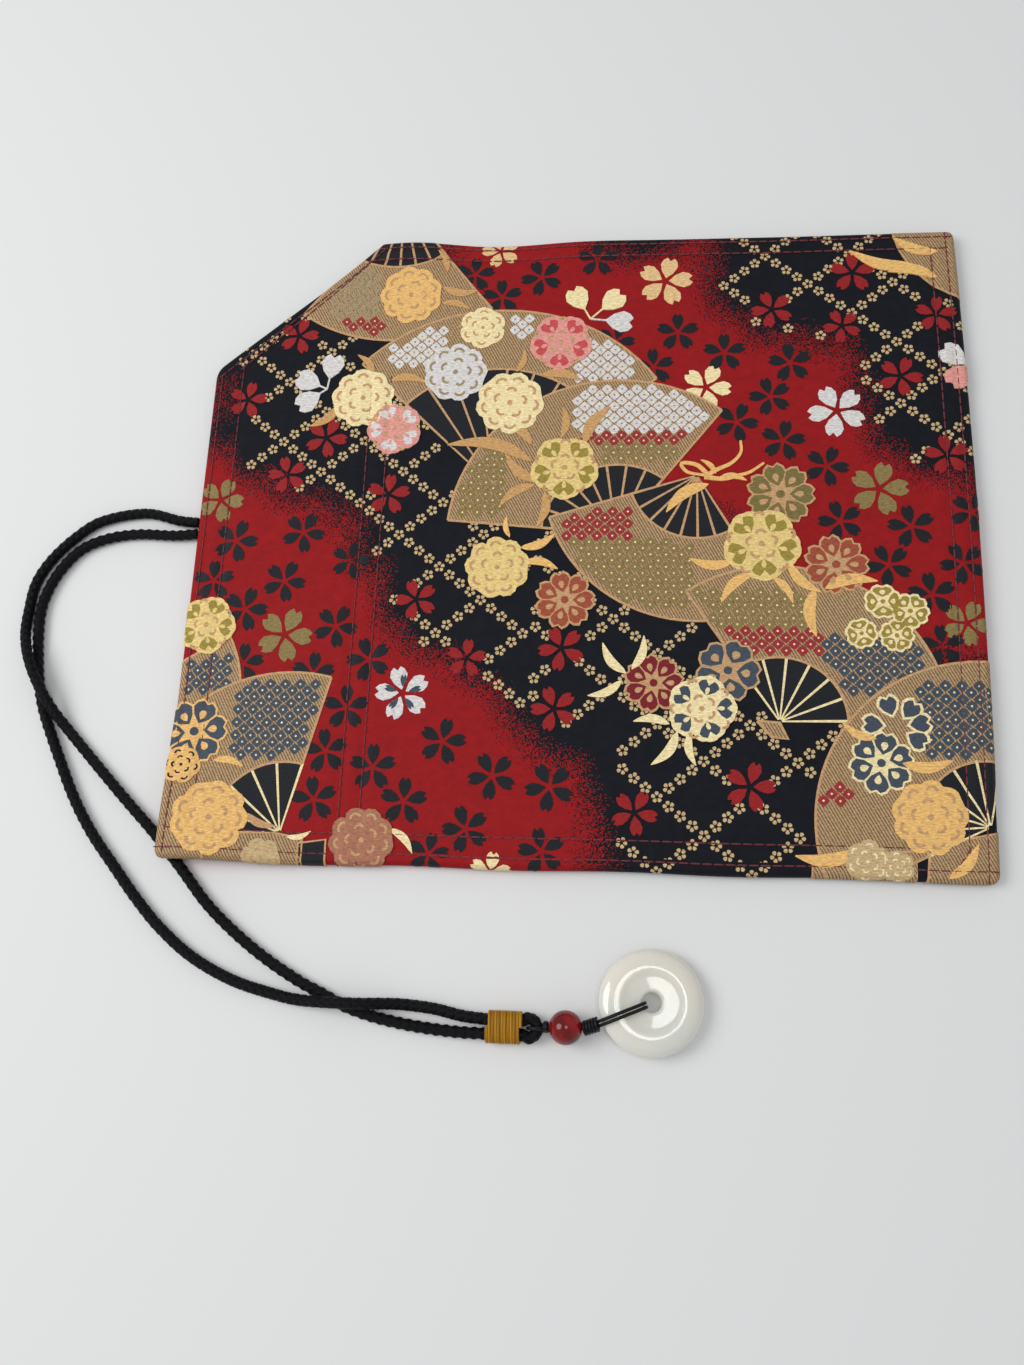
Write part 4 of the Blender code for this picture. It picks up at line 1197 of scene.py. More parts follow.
def ground_look():
    """The ground satin: red and black threads that mix in a stipple where fields meet."""
    sizes = bpy.context.scene.pouch_sizes
    colours = bpy.context.scene.pouch_colours
    look = Look("brocade_ground", roughness=0.6, specular_ior_level=0.12)
    x, y, z = look.axes(look.place())
    pitch = sizes.thread_pitch
    column = (x / (pitch * 0.75)).math("FLOOR")
    row = ((y + z) / (pitch * 0.7)).math("FLOOR")
    speck = look.node("ShaderNodeTexWhiteNoise", {"noise_dimensions": "3D"}, {0: look.joined(column, row)})
    share = look.node("ShaderNodeAttribute", {"attribute_name": "dark"}, output="Fac")
    dark = speck < (share * 1.06 - 0.03)
    soft = look.noise(look.joined(x * 420.0, y * 600.0, z * 600.0), 1.0, 3.0)
    red = look.tinted(rgba(colours.ground), soft * 0.5 + 0.78)
    black = look.tinted(rgba(colours.field), soft * 0.9 + 0.6)
    look.colour(look.mix(dark, red, black))
    twill = (((x + (y + z) * 0.6) / (pitch * 1.7)) * math.tau).math("SINE")
    ribs = ((y + z) / pitch * math.tau).math("SINE")
    look.bump(twill * 0.35 + ribs * 0.3 + speck * 0.5, 0.07 * MM, 0.6)
    return look.material


def cover_piece():
    """The cover: a fine grid on top, the rolled edge and the hem turned under."""
    bm = bmesh.new()
    border = outline(EDGE_R)
    inner = outline(EDGE_R + 0.6 * CLOTH_STEP)
    columns = np.arange(-WIDTH / 2, WIDTH / 2, CLOTH_STEP)
    rows = np.arange(-DEPTH / 2, DEPTH / 2, CLOTH_STEP)
    grid = np.array([(x, y) for y in rows for x in columns])
    depth = polygon_depth(grid[:, 0], grid[:, 1], [tuple(p) for p in inner])
    coords = [*border, *[Vector(p) for p in grid[depth > 0.0]]]
    verts, _, tris, _, _, _ = delaunay_2d_cdt(coords, [], [list(range(len(border)))], 1, 1e-6)
    made = [bm.verts.new((v.x, v.y, THICKNESS)) for v in verts]
    for tri in tris:
        bm.faces.new([made[i] for i in tri])

    def loops(inset_z):
        return [[bm.verts.new((p.x, p.y, z)) for p in outline(i)] for i, z in inset_z]

    def nose(low, high, inset):
        half, middle, reach = (high - low) / 2, (high + low) / 2, EDGE_R - inset
        steps = [math.pi * (k / 12 - 0.5) for k in range(13)]
        return [(inset + reach * (1 - math.cos(a)), middle + half * math.sin(a)) for a in steps]

    outside = [(HEM_W, HEM_LIFT), (HEM_W - 3, HEM_LIFT), (HEM_W - 5, HEM_LIFT)]
    outer_loops = loops(outside + nose(HEM_LIFT, THICKNESS, 0.0))
    top = THICKNESS - COVER_T
    inner_loops = loops([(HEM_W, COVER_T), (HEM_W - 3, COVER_T)] + nose(COVER_T, top, COVER_T))
    for group in (outer_loops, inner_loops):
        for lower, upper in zip(group, group[1:]):
            band(bm, lower, upper)
    band(bm, outer_loops[0], inner_loops[0])
    bm.faces.new(inner_loops[-1])
    bmesh.ops.remove_doubles(bm, verts=bm.verts, dist=1e-3)
    cut_for_fold(bm)
    bmesh.ops.recalc_face_normals(bm, faces=bm.faces)
    reshape(bm, settle([v.co for v in bm.verts]))
    area = sheet_area(bm)
    made = finish_mesh("brocade_cover", bm, ground_look(), smooth=60.0)
    places = np.array([v.co for v in made.data.vertices]) / MM
    dark = made.data.attributes.new("dark", "FLOAT", "POINT")
    dark.data.foreach_set("value", darkness(places[:, 0], places[:, 1]))
    return made, area


def flat_layer(name, inset, low, thickness, look):
    """A flat layer of cloth or felt inside the cover."""
    bm = bmesh.new()
    border = outline(inset, step=LAYER_STEP)
    under, over = ([bm.verts.new((p.x, p.y, z)) for p in border] for z in (low, low + thickness))
    band(bm, under, over)
    bm.faces.new(under[::-1])
    bm.faces.new(over)
    cut_for_waves(bm, (0.0, 0.0))
    cut_for_fold(bm)
    bmesh.ops.recalc_face_normals(bm, faces=bm.faces)
    reshape(bm, settle([v.co for v in bm.verts]))
    return finish_mesh(name, bm, look)


def plain_weave(name, colour):
    """Plain woven cotton, a little lighter where each thread passes over and darker where it dips under,
    which is painted shade.
    """
    sizes = bpy.context.scene.pouch_sizes
    look = Look(name, roughness=0.85, sheen_weight=0.2)
    x, y, z = look.axes(look.place())
    pitch = sizes.thread_pitch
    over = (x / pitch * math.pi).math("SINE") * (y / pitch * math.pi).math("SINE")
    slub = look.noise(look.joined(x * 300.0, y * 1400.0, z * 300.0), 1.0, 2.0)
    # Painted shade: the over-and-under pattern lightens the crossings and darkens the dips
    look.colour(look.tinted(rgba(colour), over * 0.14 + slub * 0.5 + 0.72))
    look.bump(over * 0.5 + slub * 0.5, 0.07 * MM, 0.6)
    return look.material


def felt_look():
    """Needle felt."""
    look = Look("felt", roughness=0.95)
    fuzz = look.noise(look.place(), 2600.0, 4.0)
    look.colour(look.tinted(rgba((0.6, 0.58, 0.54)), fuzz * 0.3 + 0.82))
    look.bump(fuzz, 0.15 * MM, 0.6)
    return look.material


def pocket_piece(look):
    """The pocket panel: rows of shallow pockets between its seams."""
    left, right = panel_low.x, panel_high.x
    near, far = panel_low.y, panel_high.y
    seams = [left + 2.5, left + 7.9]
    first, last = left + 10.4, WIDTH / 2 - HEM_W - GAP
    pitch = (last - first + 2.0) / 4
    seams += [first + pitch * k - 1.0 for k in (1, 2, 3)]
    seams.append(last + 3.0)
    xs = np.arange(left, right + 0.01, (right - left) / 160)
    ys = np.arange(near, far + 0.01, (far - near) / 66)
    high = COVER_T + GAP

    def low_side(x, y):
        off = min(abs(x - seam) for seam in seams)
        sewn_down = x < first - 1.0 or x > last
        rim = 1.0 - min(max((y - near - 6.4) / 3.0, 0.0), 1.0)
        swell = min(max((off - 0.8) / 3.2, 0.0), 1.0)
        swell = 0.0 if sewn_down else ease(swell) * (1.0 - rim)
        return high - (high - 0.15) * swell

    bm = bmesh.new()
    grids = []
    for thickness in (0.0, POCKET_T):
        grids.append([[bm.verts.new((x, y, low_side(x, y) + thickness)) for x in xs] for y in ys])
    rims = []
    for grid in grids:
        for row, after in zip(grid, grid[1:]):
            for quad in zip(row, row[1:], after[1:], after):
                bm.faces.new(quad)
        rim = [*grid[0], *[row[-1] for row in grid[1:]]]
        rims.append(rim + [*reversed(grid[-1][:-1]), *[row[0] for row in reversed(grid[1:-1])]])
    band(bm, *rims)
    bmesh.ops.recalc_face_normals(bm, faces=bm.faces)
    made = finish_mesh("pocket_cloth", bm, look, smooth=50.0)
    lines = [[(seam, y, low_side(seam, y)) for y in (near + 6.5, far - 1.0)] for seam in seams[:-1]]
    lines.append([(x, far - 2.5, low_side(x, far - 2.5)) for x in np.arange(left + 3, last, 1.0)])
    return made, lines


def smooth_route(points, step):
    """Points every step or so on a smooth curve through the route."""
    points = [Vector(p) for p in points]
    ends = [2 * points[0] - points[1], *points, 2 * points[-1] - points[-2]]
    made = [points[0]]
    for i in range(1, len(ends) - 2):
        a, b, c, d = ends[i - 1 : i + 3]
        pieces = max(1, round((c - b).length / step))
        for k in range(1, pieces + 1):
            t = k / pieces
            cubic = (3 * b - a - 3 * c + d) * t**3
            made.append(0.5 * (2 * b + (c - a) * t + (2 * a - 5 * b + 4 * c - d) * t**2 + cubic))
    return made


def binding_height():
    """The height of the cord's middle inside the binding."""
    return BINDING_T + GAP + CORD_D / 2


def bight():
    """The cord's tight loop beyond the binding."""
    x, y = BINDING_AT
    z = binding_height()
    half = (CORD_D + GAP) / 2
    wide = (CORD_D + BIGHT_GAP) / 2
    end = x + BINDING_LENGTH
    centre = end + BIGHT_NECK
    side = [(x, y - half, z), (end - 0.2, y - half, z), (end + 0.5, y - 0.5 * (half + wide), z)]
    points = list(side)
    for number in range(9):
        angle = math.pi * (number / 8 - 0.5)
        rise = BIGHT_RISE * math.cos(angle)
        points.append((centre + wide * math.cos(angle), y + wide * math.sin(angle), z + rise))
    points += [(px, 2 * y - py, pz) for px, py, pz in reversed(side)]
    return [Vector(p) for p in points]


def nose_point():
    """The middle of the cord at the very end of its loop."""
    x, y = BINDING_AT
    reach = BINDING_LENGTH + BIGHT_NECK + (CORD_D + BIGHT_GAP) / 2
    return Vector((x + reach, y, binding_height() + BIGHT_RISE))


def cord_route():
    """The whole cord, from the upper hole in the edge round to the lower one."""
    exit_x = -WIDTH / 2 - GAP
    pitch = (CORD_D + GAP) / 2
    start = (exit_x, CORD_EXIT_Y + pitch, THICKNESS / 2)
    finish = (exit_x, CORD_EXIT_Y - pitch, THICKNESS / 2)
    upper, lower = ([(*p, FLAT_Z)[:3] for p in strand] for strand in (UPPER_STRAND, LOWER_STRAND))
    loop = bight()
    there = smooth_route([start, *upper, loop[0]], ROUTE_STEP)
    back = smooth_route([finish, *lower, loop[-1]], ROUTE_STEP)
    return there[:-1] + smooth_route(loop, ROUTE_STEP) + back[-2::-1]


def evenly(points, step):
    """The same line with its points evenly spaced."""
    points = np.array([tuple(p) for p in points])
    lengths = np.concatenate([[0.0], np.cumsum(np.linalg.norm(np.diff(points, axis=0), axis=1))])
    count = max(2, round(lengths[-1] / step) + 1)
    marks = np.linspace(0.0, lengths[-1], count)
    return np.stack([np.interp(marks, lengths, points[:, k]) for k in range(3)], axis=1), lengths[-1]


def frames_along(points):
    """A side and an up direction at each point, turning as little as possible."""
    ways = np.gradient(points, axis=0)
    ways /= np.linalg.norm(ways, axis=1)[:, None]
    side = np.cross(ways[0], (0.0, 0.0, 1.0))
    if np.linalg.norm(side) < 0.1:
        side = np.array((1.0, 0.0, 0.0))
    sides = []
    for way in ways:
        side = side - way * (side @ way)
        side = side / np.linalg.norm(side)
        sides.append(side)
    sides = np.array(sides)
    return sides, np.cross(ways, sides)


def sweep(points, radii, length):
    """A tube along points. radii gives the radius for each point and side."""
    sides = radii.shape[1]
    marks = np.linspace(0.0, length, len(points))
    across, up = frames_along(points)
    bm = bmesh.new()
    layer = bm.loops.layers.uv.new("UVMap")
    angles = np.arange(sides) / sides * math.tau
    rings = []
    for index, point in enumerate(points):
        ring = []
        for number, angle in enumerate(angles):
            way = across[index] * math.cos(angle) + up[index] * math.sin(angle)
            ring.append(bm.verts.new(point + way * radii[index][number]))
        rings.append(ring)
    for index, (ring, following) in enumerate(zip(rings, rings[1:])):
        for number in range(sides):
            after = (number + 1) % sides
            face = bm.faces.new((ring[number], ring[after], following[after], following[number]))
            for loop, n, i in zip(face.loops, (0, 1, 1, 0), (0, 0, 1, 1)):
                loop[layer].uv = ((number + n) / sides, marks[index + i])
    bm.faces.new(rings[0][::-1])
    bm.faces.new(rings[-1])
    bmesh.ops.recalc_face_normals(bm, faces=bm.faces)
    return bm


def braid_radii(length, count, sides):
    """The braid's radius round and along the cord: plaits that pass over and under."""
    sizes = bpy.context.scene.pouch_sizes
    plait = sizes.braid_length / MM
    relief = sizes.braid_relief / MM
    s = np.linspace(0.0, length, count)[:, None] / plait
    t = (np.arange(sides) / sides * PLAITS_ROUND)[None, :]
    u, v = t + s, t - s
    even = (np.floor(u) + np.floor(v)) % 2 == 0
    across = np.where(even, u % 1.0, v % 1.0)
    along = np.where(even, v % 1.0, u % 1.0)
    crown = np.sqrt(np.clip(1.0 - (2.0 * across - 1.0) ** 2, 0.0, 1.0))
    dip = np.clip(np.sin(math.pi * along), 0.0, 1.0) ** 0.5
    return CORD_D / 2 - relief + relief * crown * (0.35 + 0.65 * dip)


def braid_look():
    """Black braid: fine filaments along each plait, with the colour darker between the filaments, which is
    painted shade.
    """
    colours = bpy.context.scene.pouch_colours
    look = Look("black_braid", roughness=0.45, specular_ior_level=0.12)
    uv = look.node("ShaderNodeUVMap", {"uv_map": "UVMap"})
    t, s, _ = look.axes(uv)
    u, v = t * PLAITS_ROUND + s, t * PLAITS_ROUND - s
    even = (u.math("FLOOR") + v.math("FLOOR")).math("MODULO", 2.0).math("ABSOLUTE") < 0.5
    across = even * u + (1 - even) * v
    strands = (across * (math.tau * PLAIT_STRANDS)).math("SINE") * 0.5 + 0.5
    grime = look.noise(look.place(), 900.0, 2.0)
    # Painted shade: the strand stripes darken the colour between the filaments
    look.colour(look.tinted(rgba(colours.braid), strands * 0.9 + grime * 0.6 + 0.4))
    look.bump(strands, 0.08 * MM, 0.6)
    return look.material


def thread_piece(name, points, diameter, look, step=0.25, sides=12):
    """A thin round thread along points."""
    even, length = evenly(points, step)
    bm = sweep(even, np.full((len(even), sides), diameter / 2), length)
    return finish_mesh(name, bm, look, smooth=60.0)


def twisted_look(name, colour, twists=2.2, roughness=0.45, **fixed):
    """A twisted thread: slanting plies along its length. The colour is darker in the grooves between plies,
    and with a slight twist in bands along the thread's sides where turns meet, which is painted shade.
    """
    look = Look(name, roughness=roughness, **fixed)
    uv = look.node("ShaderNodeUVMap", {"uv_map": "UVMap"})
    t, s, _ = look.axes(uv)
    ply = ((t * 2.0 + s * twists) * math.tau).math("SINE") * 0.5 + 0.5
    fibre = look.noise(look.joined(t * 30.0, s * 2.0, 0.0), 1.0, 2.0)
    # Painted shade: the ply stripes darken the colour between plies and along the sides of each turn
    look.colour(look.tinted(rgba(colour), ply * 0.45 + fibre * 0.35 + 0.5))
    look.bump(ply + fibre * 0.4, 0.06 * MM, 0.7)
    return look.material


def binding_points():
    """The silk's way round both strands, turn beside turn, then slantwise back."""
    x, y = BINDING_AT
    z = binding_height()
    half = (CORD_D + GAP) / 2
    clear = CORD_D / 2 + GAP
    pitch = BINDING_LENGTH / BINDING_TURNS
    points = []
    steps = 28
    for number in range(BINDING_TURNS * steps + 1):
        share = number / steps
        angle = math.tau * share + math.pi / 2
        side = half * max(-1.0, min(1.0, 2.2 * math.cos(angle)))
        at = x + pitch * 0.5 + share * (BINDING_LENGTH - pitch) / BINDING_TURNS
        points.append((at, y + side + clear * math.cos(angle), z + clear * math.sin(angle)))
    return points


def spun(name, profile, segments, look, body, centre, axis):
    """A turned piece: a closed section spun round its axis."""
    bm = bmesh.new()
    turn = Vector((0, 0, 1)).rotation_difference(axis).to_matrix()
    rings = []
    for number in range(segments):
        a = math.tau * number / segments
        ring = []
        for radius, height in profile:
            place = Vector((radius * math.cos(a), radius * math.sin(a), height))
            ring.append(bm.verts.new(centre + turn @ place))
        rings.append(ring)
    for ring, after in zip(rings, rings[1:] + rings[:1]):
        band(bm, ring, after)
    bmesh.ops.recalc_face_normals(bm, faces=bm.faces)
    return finish_mesh(name, bm, look, body=body, smooth=50.0)


def bead_centre():
    """The middle of the bead: next to the cord's loop, resting on the table."""
    tip = nose_point()
    reach = CORD_D / 2 + THREAD_D + 1.5 * GAP + BEAD_D / 2
    return Vector((tip.x + reach, tip.y + 0.5, BEAD_D / 2 + BEAD_CLEARANCE))


def knot_start():
    """Where the knot's face meets the thread that leaves the bead."""
    return bead_centre() + Vector((BEAD_D / 2 + GAP, 0, 0))


def ring_place():
    """The ring's middle, its direction to the knot and its axis."""
    level = Vector((math.cos(RING_BEARING), math.sin(RING_BEARING), 0))
    towards = level * math.cos(RING_TILT) + Vector((0, 0, math.sin(RING_TILT)))
    axis = Vector((0, 0, math.cos(RING_TILT))) - level * math.sin(RING_TILT)
    joint = next(j for j in frame["joints"] if j["name"] == "ring_turn")
    return Vector(joint["pos_m"]) / MM, towards, axis


def knot_end():
    """Where the knot's other face meets the thread round the ring."""
    middle, towards, _ = ring_place()
    return middle + towards * (RING_D / 2 + THREAD_D + GAP * 1.5)


def ring_section():
    """Half of the ring's section, counterclockwise."""
    flat, hole, edge, half = RING_FLAT_D / 2, RING_HOLE_D / 2, RING_HOLE_ROUND, RING_T / 2
    rim = RING_D / 2 - flat
    points = []
    for number in range(25):
        a = math.pi * (number / 24 - 0.5)
        points.append((flat + rim * math.cos(a), half * math.sin(a)))
    ridge = [
        (0.5, 0.04), (0.8, 0.16), (1.1, 0.34), (1.4, 0.52), (1.7, 0.66), (2.0, 0.76), (2.5, 0.90), (3.0, 1.0),
    ]
    points += [(flat - u * RING_RIDGE_W, half - v * RING_DISH) for u, v in ridge]
    half = half - RING_DISH
    for first, height in ((1.0, half - edge), (2.0, -half + edge)):
        for number in range(7):
            a = math.pi / 2 * (first + number / 6)
            points.append((hole + edge + edge * math.cos(a), height + edge * math.sin(a)))
    half = half + RING_DISH
    points += [(flat - u * RING_RIDGE_W, v * RING_DISH - half) for u, v in reversed(ridge)]
    return points


def thread_round_nose():
    """The thread's way from the bead round the end of the cord's loop."""
    tip, centre, ply = nose_point(), bead_centre(), PLY_PITCH / 2
    reach = CORD_D / 2 + GAP + THREAD_D / 2 + 0.05
    points = [Vector((knot_start().x - GAP, centre.y, centre.z + ply))]
    points.append(Vector((centre.x - BEAD_D / 2, centre.y, centre.z + ply)))
    for k in range(8):
        a = math.radians(40 + 35 * k)
        points.append(Vector((tip.x + reach * math.cos(a), tip.y, tip.z + reach * math.sin(a))))
    points.append(Vector((centre.x - BEAD_D / 2, centre.y, centre.z - ply)))
    points.append(Vector((centre.x + BEAD_D / 2, centre.y, centre.z - ply)))
    return points


def thread_round_ring(side):
    """One turn of the thread over the ring's rim, through its hole and back."""
    middle, towards, axis = ring_place()
    across = axis.cross(towards)
    clear = THREAD_D / 2 + GAP
    flat, half = RING_FLAT_D / 2, RING_T / 2
    rim = RING_D / 2 - flat
    over = [(RING_D / 2 + THREAD_D + GAP * 1.5, clear)]
    for angle in (28, 40, 52, 64, 77, 90):
        a = math.radians(angle)
        out = Vector((math.cos(a) / rim, math.sin(a) / half)).normalized() * clear
        over.append((flat + rim * math.cos(a) + out.x, half * math.sin(a) + out.y))
    turn, hole = RING_HOLE_ROUND + clear, RING_HOLE_D / 2 + RING_HOLE_ROUND
    for angle in (90, 120, 150, 180):
        a = math.radians(angle)
        over.append((hole + turn * math.cos(a), half - RING_HOLE_ROUND + turn * math.sin(a)))
    route = over + [(u, -n) for u, n in reversed(over)]
    route = [middle + towards * u + axis * n + across * side for u, n in route]
    face, way = knot_end(), (knot_end() - knot_start()).normalized()
    for end in (0, -1):
        short = THREAD_SEAT - (route[end] - face).dot(way)
        route[end] -= towards * (short / -towards.dot(way))
    return route


def coil(start, end, diameter, turns):
    """A thread wound round a straight line, turn beside turn."""
    way = (end - start).normalized()
    side = way.cross(Vector((0, 0, 1))).normalized()
    up = side.cross(way)
    points = []
    for number in range(round(turns * 20) + 1):
        share = number / (turns * 20)
        a = math.tau * turns * share
        points.append(start.lerp(end, share) + (side * math.cos(a) + up * math.sin(a)) * diameter / 2)
    return points


def knot_points():
    """The thread wound round itself between bead and ring."""
    start, end = knot_start(), knot_end()
    way = (end - start).normalized()
    return coil(start + way * 0.15, end + way * 0.15, KNOT_D - THREAD_D + 0.8, KNOT_TURNS + 0.5)


def inner_knot_points():
    """Two short turns that fill the place between the cord's loop and the bead."""
    tip, centre = nose_point(), bead_centre()
    start = Vector((tip.x + CORD_D / 2 + 0.15, centre.y, centre.z))
    end = Vector((centre.x - BEAD_D / 2 - 0.25, centre.y, centre.z))
    return coil(start, end, KNOT_D - THREAD_D, 2)


def stone_look(name, low, high, scale, **fixed):
    """Polished stone with soft clouds in it."""
    look = Look(name, **fixed)
    cloud = look.noise(look.place(), scale, 3.0)
    ramp = look.node("ShaderNodeMapRange", {"interpolation_type": "SMOOTHSTEP"}, {0: cloud, 1: 0.35, 2: 0.68})
    look.colour(look.mix(ramp, rgba(low), rgba(high)))
    return look.material


class PouchStage(bpy.types.Operator):
    """Add the camera, the lamps and the floor"""

    bl_idname = "pouch.stage"
    bl_label = "Stage"

    def execute(self, context):
        scene = context.scene
        scene.view_settings.view_transform = "Standard"
        camera = bpy.data.cameras.new("camera")
        camera.sensor_fit = "VERTICAL"
        camera.sensor_height = SENSOR_MM
        camera.lens = SENSOR_MM * FOCAL_PX / PHOTO_HEIGHT_PX
        right, up = Vector(CAMERA_RIGHT), Vector(CAMERA_UP)
        back = right.cross(up).normalized()
        turn = Matrix((right.normalized(), up.normalized(), back)).transposed()
        scene.camera = linked("camera", camera)
        scene.camera.matrix_world = Matrix.Translation(CAMERA_PLACE) @ turn.to_4x4()
        world = bpy.data.worlds.new("studio")
        world.use_nodes = True
        world.node_tree.nodes["Background"].inputs[0].default_value = (0.95, 0.97, 1.0, 1.0)
        world.node_tree.nodes["Background"].inputs[1].default_value = 0.5
        scene.world = world
        for name, place, size, power in LAMPS:
            data = bpy.data.lights.new(name, "AREA")
            data.shape = "DISK"
            data.size = size
            data.energy = power
            lamp = linked(name, data)
            lamp.location = place
            lamp.rotation_euler = (-Vector(place)).to_track_quat("-Z", "Y").to_euler()
        mesh = bpy.data.meshes.new("floor")
        corners = [(x * FLOOR_HALF, y * FLOOR_HALF, 0) for x, y in ((-1, -1), (1, -1), (1, 1), (-1, 1))]
        mesh.from_pydata(corners, [], [(0, 1, 2, 3)])
        floor = linked("floor", mesh)
        look = Look("floor", roughness=0.8)
        look.shader.inputs["Base Color"].default_value = (0.80, 0.80, 0.79, 1.0)
        back = look.node("ShaderNodeNewGeometry", output="Backfacing")
        clear = look.node("ShaderNodeBsdfTransparent")
        sheet = Socket(look, look.shader.outputs[0])
        one_sided = look.node("ShaderNodeMixShader", values={0: back, 1: sheet, 2: clear})
        look.tree.links.new(one_sided.socket, look.tree.nodes["Material Output"].inputs[0])
        mesh.materials.append(look.material)
        floor.visible_diffuse = False
        floor.visible_shadow = False
        return {"FINISHED"}


class PouchCord(bpy.types.Operator):
    """Make the braided cord with its binding, threads, bead and ring"""

    bl_idname = "pouch.cord"
    bl_label = "Cord and trimmings"

    def execute(self, context):
        sizes, colours = context.scene.pouch_sizes, context.scene.pouch_colours
        points, length = evenly(cord_route(), CORD_STEP)
        radii = braid_radii(length, len(points), CORD_SIDES)
        bm = sweep(points, radii, length / (sizes.braid_length / MM))
        cord = finish_mesh("braid", bm, braid_look(), smooth=70.0)
        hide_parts("braided_cord")
        silk = twisted_look("gold_silk", colours.binding, 0.03, 0.36, specular_ior_level=0.2)
        wound = BINDING_LENGTH / BINDING_TURNS
        binding = thread_piece("silk_binding", binding_points(), wound * 1.04, silk)
        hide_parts("cord_binding")
        waxed = twisted_look("waxed_thread", (0.005, 0.005, 0.007), 1.2, 0.35, specular_ior_level=0.25)
        near, far = (thread_round_ring(side * PLY_PITCH / 2) for side in (-1, 1))
        routes = [
            ("bead_loop", smooth_route(thread_round_nose(), THREAD_STEP), "bead_thread"),
            ("ring_loop_near", smooth_route(near, THREAD_STEP), "ring_thread_near"),
            ("ring_loop_far", smooth_route(far, THREAD_STEP), "ring_thread_far"),
            ("coil_knot", knot_points(), "thread_knot"),
            ("inner_knot", inner_knot_points(), None),
        ]
        for name, route, node in routes:
            piece = thread_piece(name, route, THREAD_D, waxed)
            if node:
                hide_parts(node)
        bore = PLY_PITCH / 2 + THREAD_D / 2 + BORE_CLEARANCE
        edge = math.degrees(math.acos(bore / (BEAD_D / 2)))
        red = stone_look(
            "carnelian", (0.11, 0.001, 0.001), tuple(colours.carnelian), 260.0,
            roughness=0.06, coat_weight=0.15, subsurface_weight=0.05, subsurface_scale=1.5 * MM,
            specular_ior_level=0.35,
        )
        bead = spun(
            "bead", arc((0, 0), BEAD_D / 2, -edge, edge, 5.0), sizes.ring_segments, red, "bead",
            bead_centre(), Vector((1, 0, 0)),
        )
        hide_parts("carnelian_bead")
        middle, _, axis = ring_place()
        pale = stone_look(
            "jade", tuple(colours.jade), (0.80, 0.76, 0.66), 90.0,
            roughness=0.05, coat_weight=0.5, subsurface_weight=0.9, subsurface_scale=4.0 * MM,
            subsurface_radius=(1.0, 1.0, 0.95), ior=1.6,
        )
        ring = spun("ring", ring_section(), sizes.ring_segments, pale, "ring", middle, axis)
        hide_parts("jade_ring")
        return {"FINISHED"}


class PouchCover(bpy.types.Operator):
    """Make the cover and its woven pattern"""

    bl_idname = "pouch.cover"
    bl_label = "Brocade cover"

    def execute(self, context):
        cover, area = cover_piece()
        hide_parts("outer_cover")
        looks = {
            name: woven("thread_" + name, colour, hatched=name == "leaf")
            for name, colour in COLOURS.items()
        }
        work = {name: [] for name in COLOURS}
        add_fans(work)
        add_rosettes(work)
        add_peonies(work)
        add_leaves_and_hearts(work)
        rng = random.Random(11)
        for colour, places in BLOSSOMS.items():
            spots = [(x, y, BLOSSOM_LEVEL, rng.uniform(-0.5, 0.5), radius) for x, y, radius in places]
            shape = blossom_shape(PETAL_W if colour in ("black", "red") else LIGHT_PETAL_W)
            work[colour] += scattered("blossoms_" + colour, shape, spots, looks[colour])
        for number in range(5):
            vein = petal(VEINED_BLOSSOM, 0.3 + math.tau * number / 5, 1.6, 5.0, 1.7, 0.2)
            work["blue"].append((BLOSSOM_LEVEL + 1.0, vein))
        work["straw"] += scattered("trellis", dot_shape(), trellis_places(), looks["straw"])
        for colour in ("white", "tan", "crimson", "khaki", "blue"):
            spots = fan_dot_places(colour)
            work[colour] += scattered("dots_" + colour, knot_dot_shape(), spots, looks[colour])
            hearts = [(x, y, level + 0.6, turn, FAN_DOT_HEART) for x, y, level, turn, _ in spots]
            heart = "leaf" if colour in ("white", "tan") else "cream"
            work[heart] += scattered("hearts_" + colour, knot_dot_shape(), hearts, looks[heart])
        for name, shapes in work.items():
            if shapes:
                thread_work("woven_" + name, shapes, looks[name])
        return {"FINISHED"}


def stitch_shape(length, radius):
    """One stitch: a short capsule along Z."""
    bm = bmesh.new()
    sides = 8
    turns = [math.tau * number / sides for number in range(sides)]
    stations = [(-0.5, 0.15), (-0.42, 0.75), (-0.25, 1.0), (0.25, 1.0), (0.42, 0.75), (0.5, 0.15)]
    rings = []
    for at, share in stations:
        places = [(*spoke((0, 0), a, radius * share), at * length) for a in turns]
        rings.append([bm.verts.new(place) for place in places])
    for ring, after in zip(rings, rings[1:]):
        band(bm, ring, after)
    bm.faces.new(rings[0][::-1])
    bm.faces.new(rings[-1])
    return linked("stitch", mesh_from("stitch", bm))


def stitched(name, lines, look):
    """Rows of stitches along lines of places in millimetres."""
    sizes = bpy.context.scene.pouch_sizes
    curve = bpy.data.curves.new(name, "CURVE")
    curve.dimensions = "3D"
    for line in lines:
        spline = curve.splines.new("POLY")
        spline.points.add(len(line) - 1)
        for point, place in zip(spline.points, line):
            point.co = (*(float(c) * MM for c in place), 1.0)
    carrier = linked(name + "_line", curve)
    stitch = stitch_shape(sizes.stitch_length, STITCH_R * MM)
    values = {"Pitch": sizes.stitch_pitch, "Stitch": stitch, "Material": look}
    mesh = run_tree(carrier, stitch_tree(), values)
    for item in (stitch, carrier):
        bpy.data.objects.remove(item)
    mesh.name = name
    mesh.shade_smooth()
    made = linked(name, mesh)
    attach(made, "pouch")


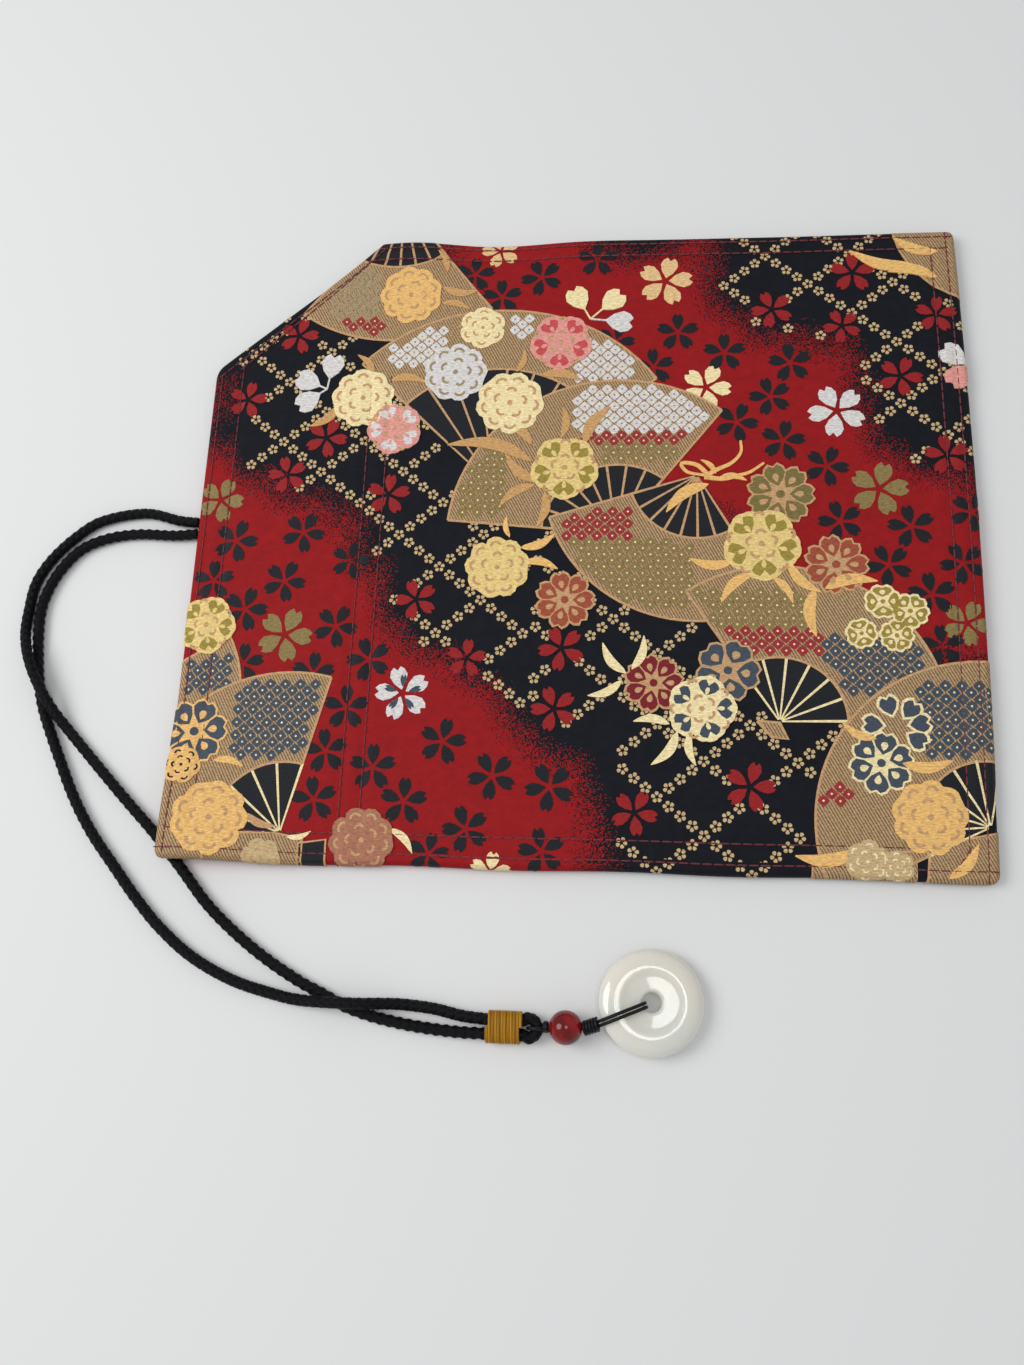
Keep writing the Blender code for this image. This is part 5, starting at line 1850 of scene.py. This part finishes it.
def stitch_look():
    """Sewing thread, with the colour darker between its plies, which is painted shade."""
    colours = bpy.context.scene.pouch_colours
    look = Look("sewing_thread", roughness=0.5, sheen_weight=0.2)
    x, y, z = look.axes(look.place())
    twist = ((x + y * 0.9 + z) / (0.45 * MM) * math.tau).math("SINE") * 0.5 + 0.5
    # Painted shade: the twist stripes darken the colour between plies
    look.colour(look.tinted(rgba(colours.stitching), twist * 0.6 + 0.7))
    look.bump(twist, 0.05 * MM, 0.5)
    return look.material


class PouchStitching(bpy.types.Operator):
    """Sew the rows on the cover and on the hem under it"""

    bl_idname = "pouch.stitching"
    bl_label = "Stitching"

    def execute(self, context):
        tops, unders = [], []
        for start, end in ROWS:
            start, end = Vector(start), Vector(end)
            count = max(2, int((end - start).length / 1.0))
            flat = np.array([tuple(start.lerp(end, k / count)) for k in range(count + 1)])
            tops.append(drape(flat, np.full(len(flat), STITCH_RISE)))
            in_the_hem = abs(start.x) > 90 or abs(start.y) > 80
            if in_the_hem:
                unders.append(settle(np.column_stack([flat, np.full(len(flat), HEM_LIFT + STITCH_SINK)])))
        look = stitch_look()
        stitched("stitches_top", tops, look)
        stitched("stitches_under", unders, look)
        return {"FINISHED"}


class PouchInside(bpy.types.Operator):
    """Make the padding, the lining and the pocket panel"""

    bl_idname = "pouch.inside"
    bl_label = "Inside"

    def execute(self, context):
        colours = context.scene.pouch_colours
        cotton = plain_weave("lining_cotton", colours.lining)
        padding = flat_layer("felt_pad", EDGE_R + GAP, padding_low.z, PADDING_T, felt_look())
        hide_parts("padding")
        lining = flat_layer("lining_cloth", EDGE_R + GAP, lining_low.z, LINING_T, cotton)
        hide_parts("lining")
        corners = [Vector(p) for p in outline(EDGE_R + GAP, step=LAYER_STEP)]
        pairs = zip(corners, corners[1:] + corners[:1])
        area = sum(a.x * b.y - a.y * b.x for a, b in pairs) / 2 * MM * MM
        pockets, lines = pocket_piece(cotton)
        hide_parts("pocket_panel")
        stitched("stitches_pockets", lines, stitch_look())
        return {"FINISHED"}


class POUCH_PT_panel(bpy.types.Panel):
    """Lists the steps"""

    bl_label = "Pen Pouch"
    bl_idname = "POUCH_PT_panel"
    bl_space_type = "VIEW_3D"
    bl_region_type = "UI"
    bl_category = "Pouch"

    def draw(self, context):
        for group in (context.scene.pouch_sizes, context.scene.pouch_colours):
            for name in group.bl_rna.properties.keys():
                if name not in ("rna_type", "name"):
                    self.layout.prop(group, name)
        for step in STEPS:
            self.layout.operator(step.bl_idname)


STEPS = (PouchStage, PouchCord, PouchCover, PouchStitching, PouchInside)
CLASSES = (PouchSizes, PouchColours, *STEPS, POUCH_PT_panel)


def register():
    for item in CLASSES:
        bpy.utils.register_class(item)
    bpy.types.Scene.pouch_sizes = PointerProperty(type=PouchSizes)
    bpy.types.Scene.pouch_colours = PointerProperty(type=PouchColours)


def unregister():
    del bpy.types.Scene.pouch_sizes
    del bpy.types.Scene.pouch_colours
    for item in reversed(CLASSES):
        bpy.utils.unregister_class(item)


def main():
    register()
    bpy.ops.pouch.stage()
    bpy.ops.pouch.cord()
    bpy.ops.pouch.cover()
    bpy.ops.pouch.stitching()
    bpy.ops.pouch.inside()


if __name__ == "__main__":
    main()
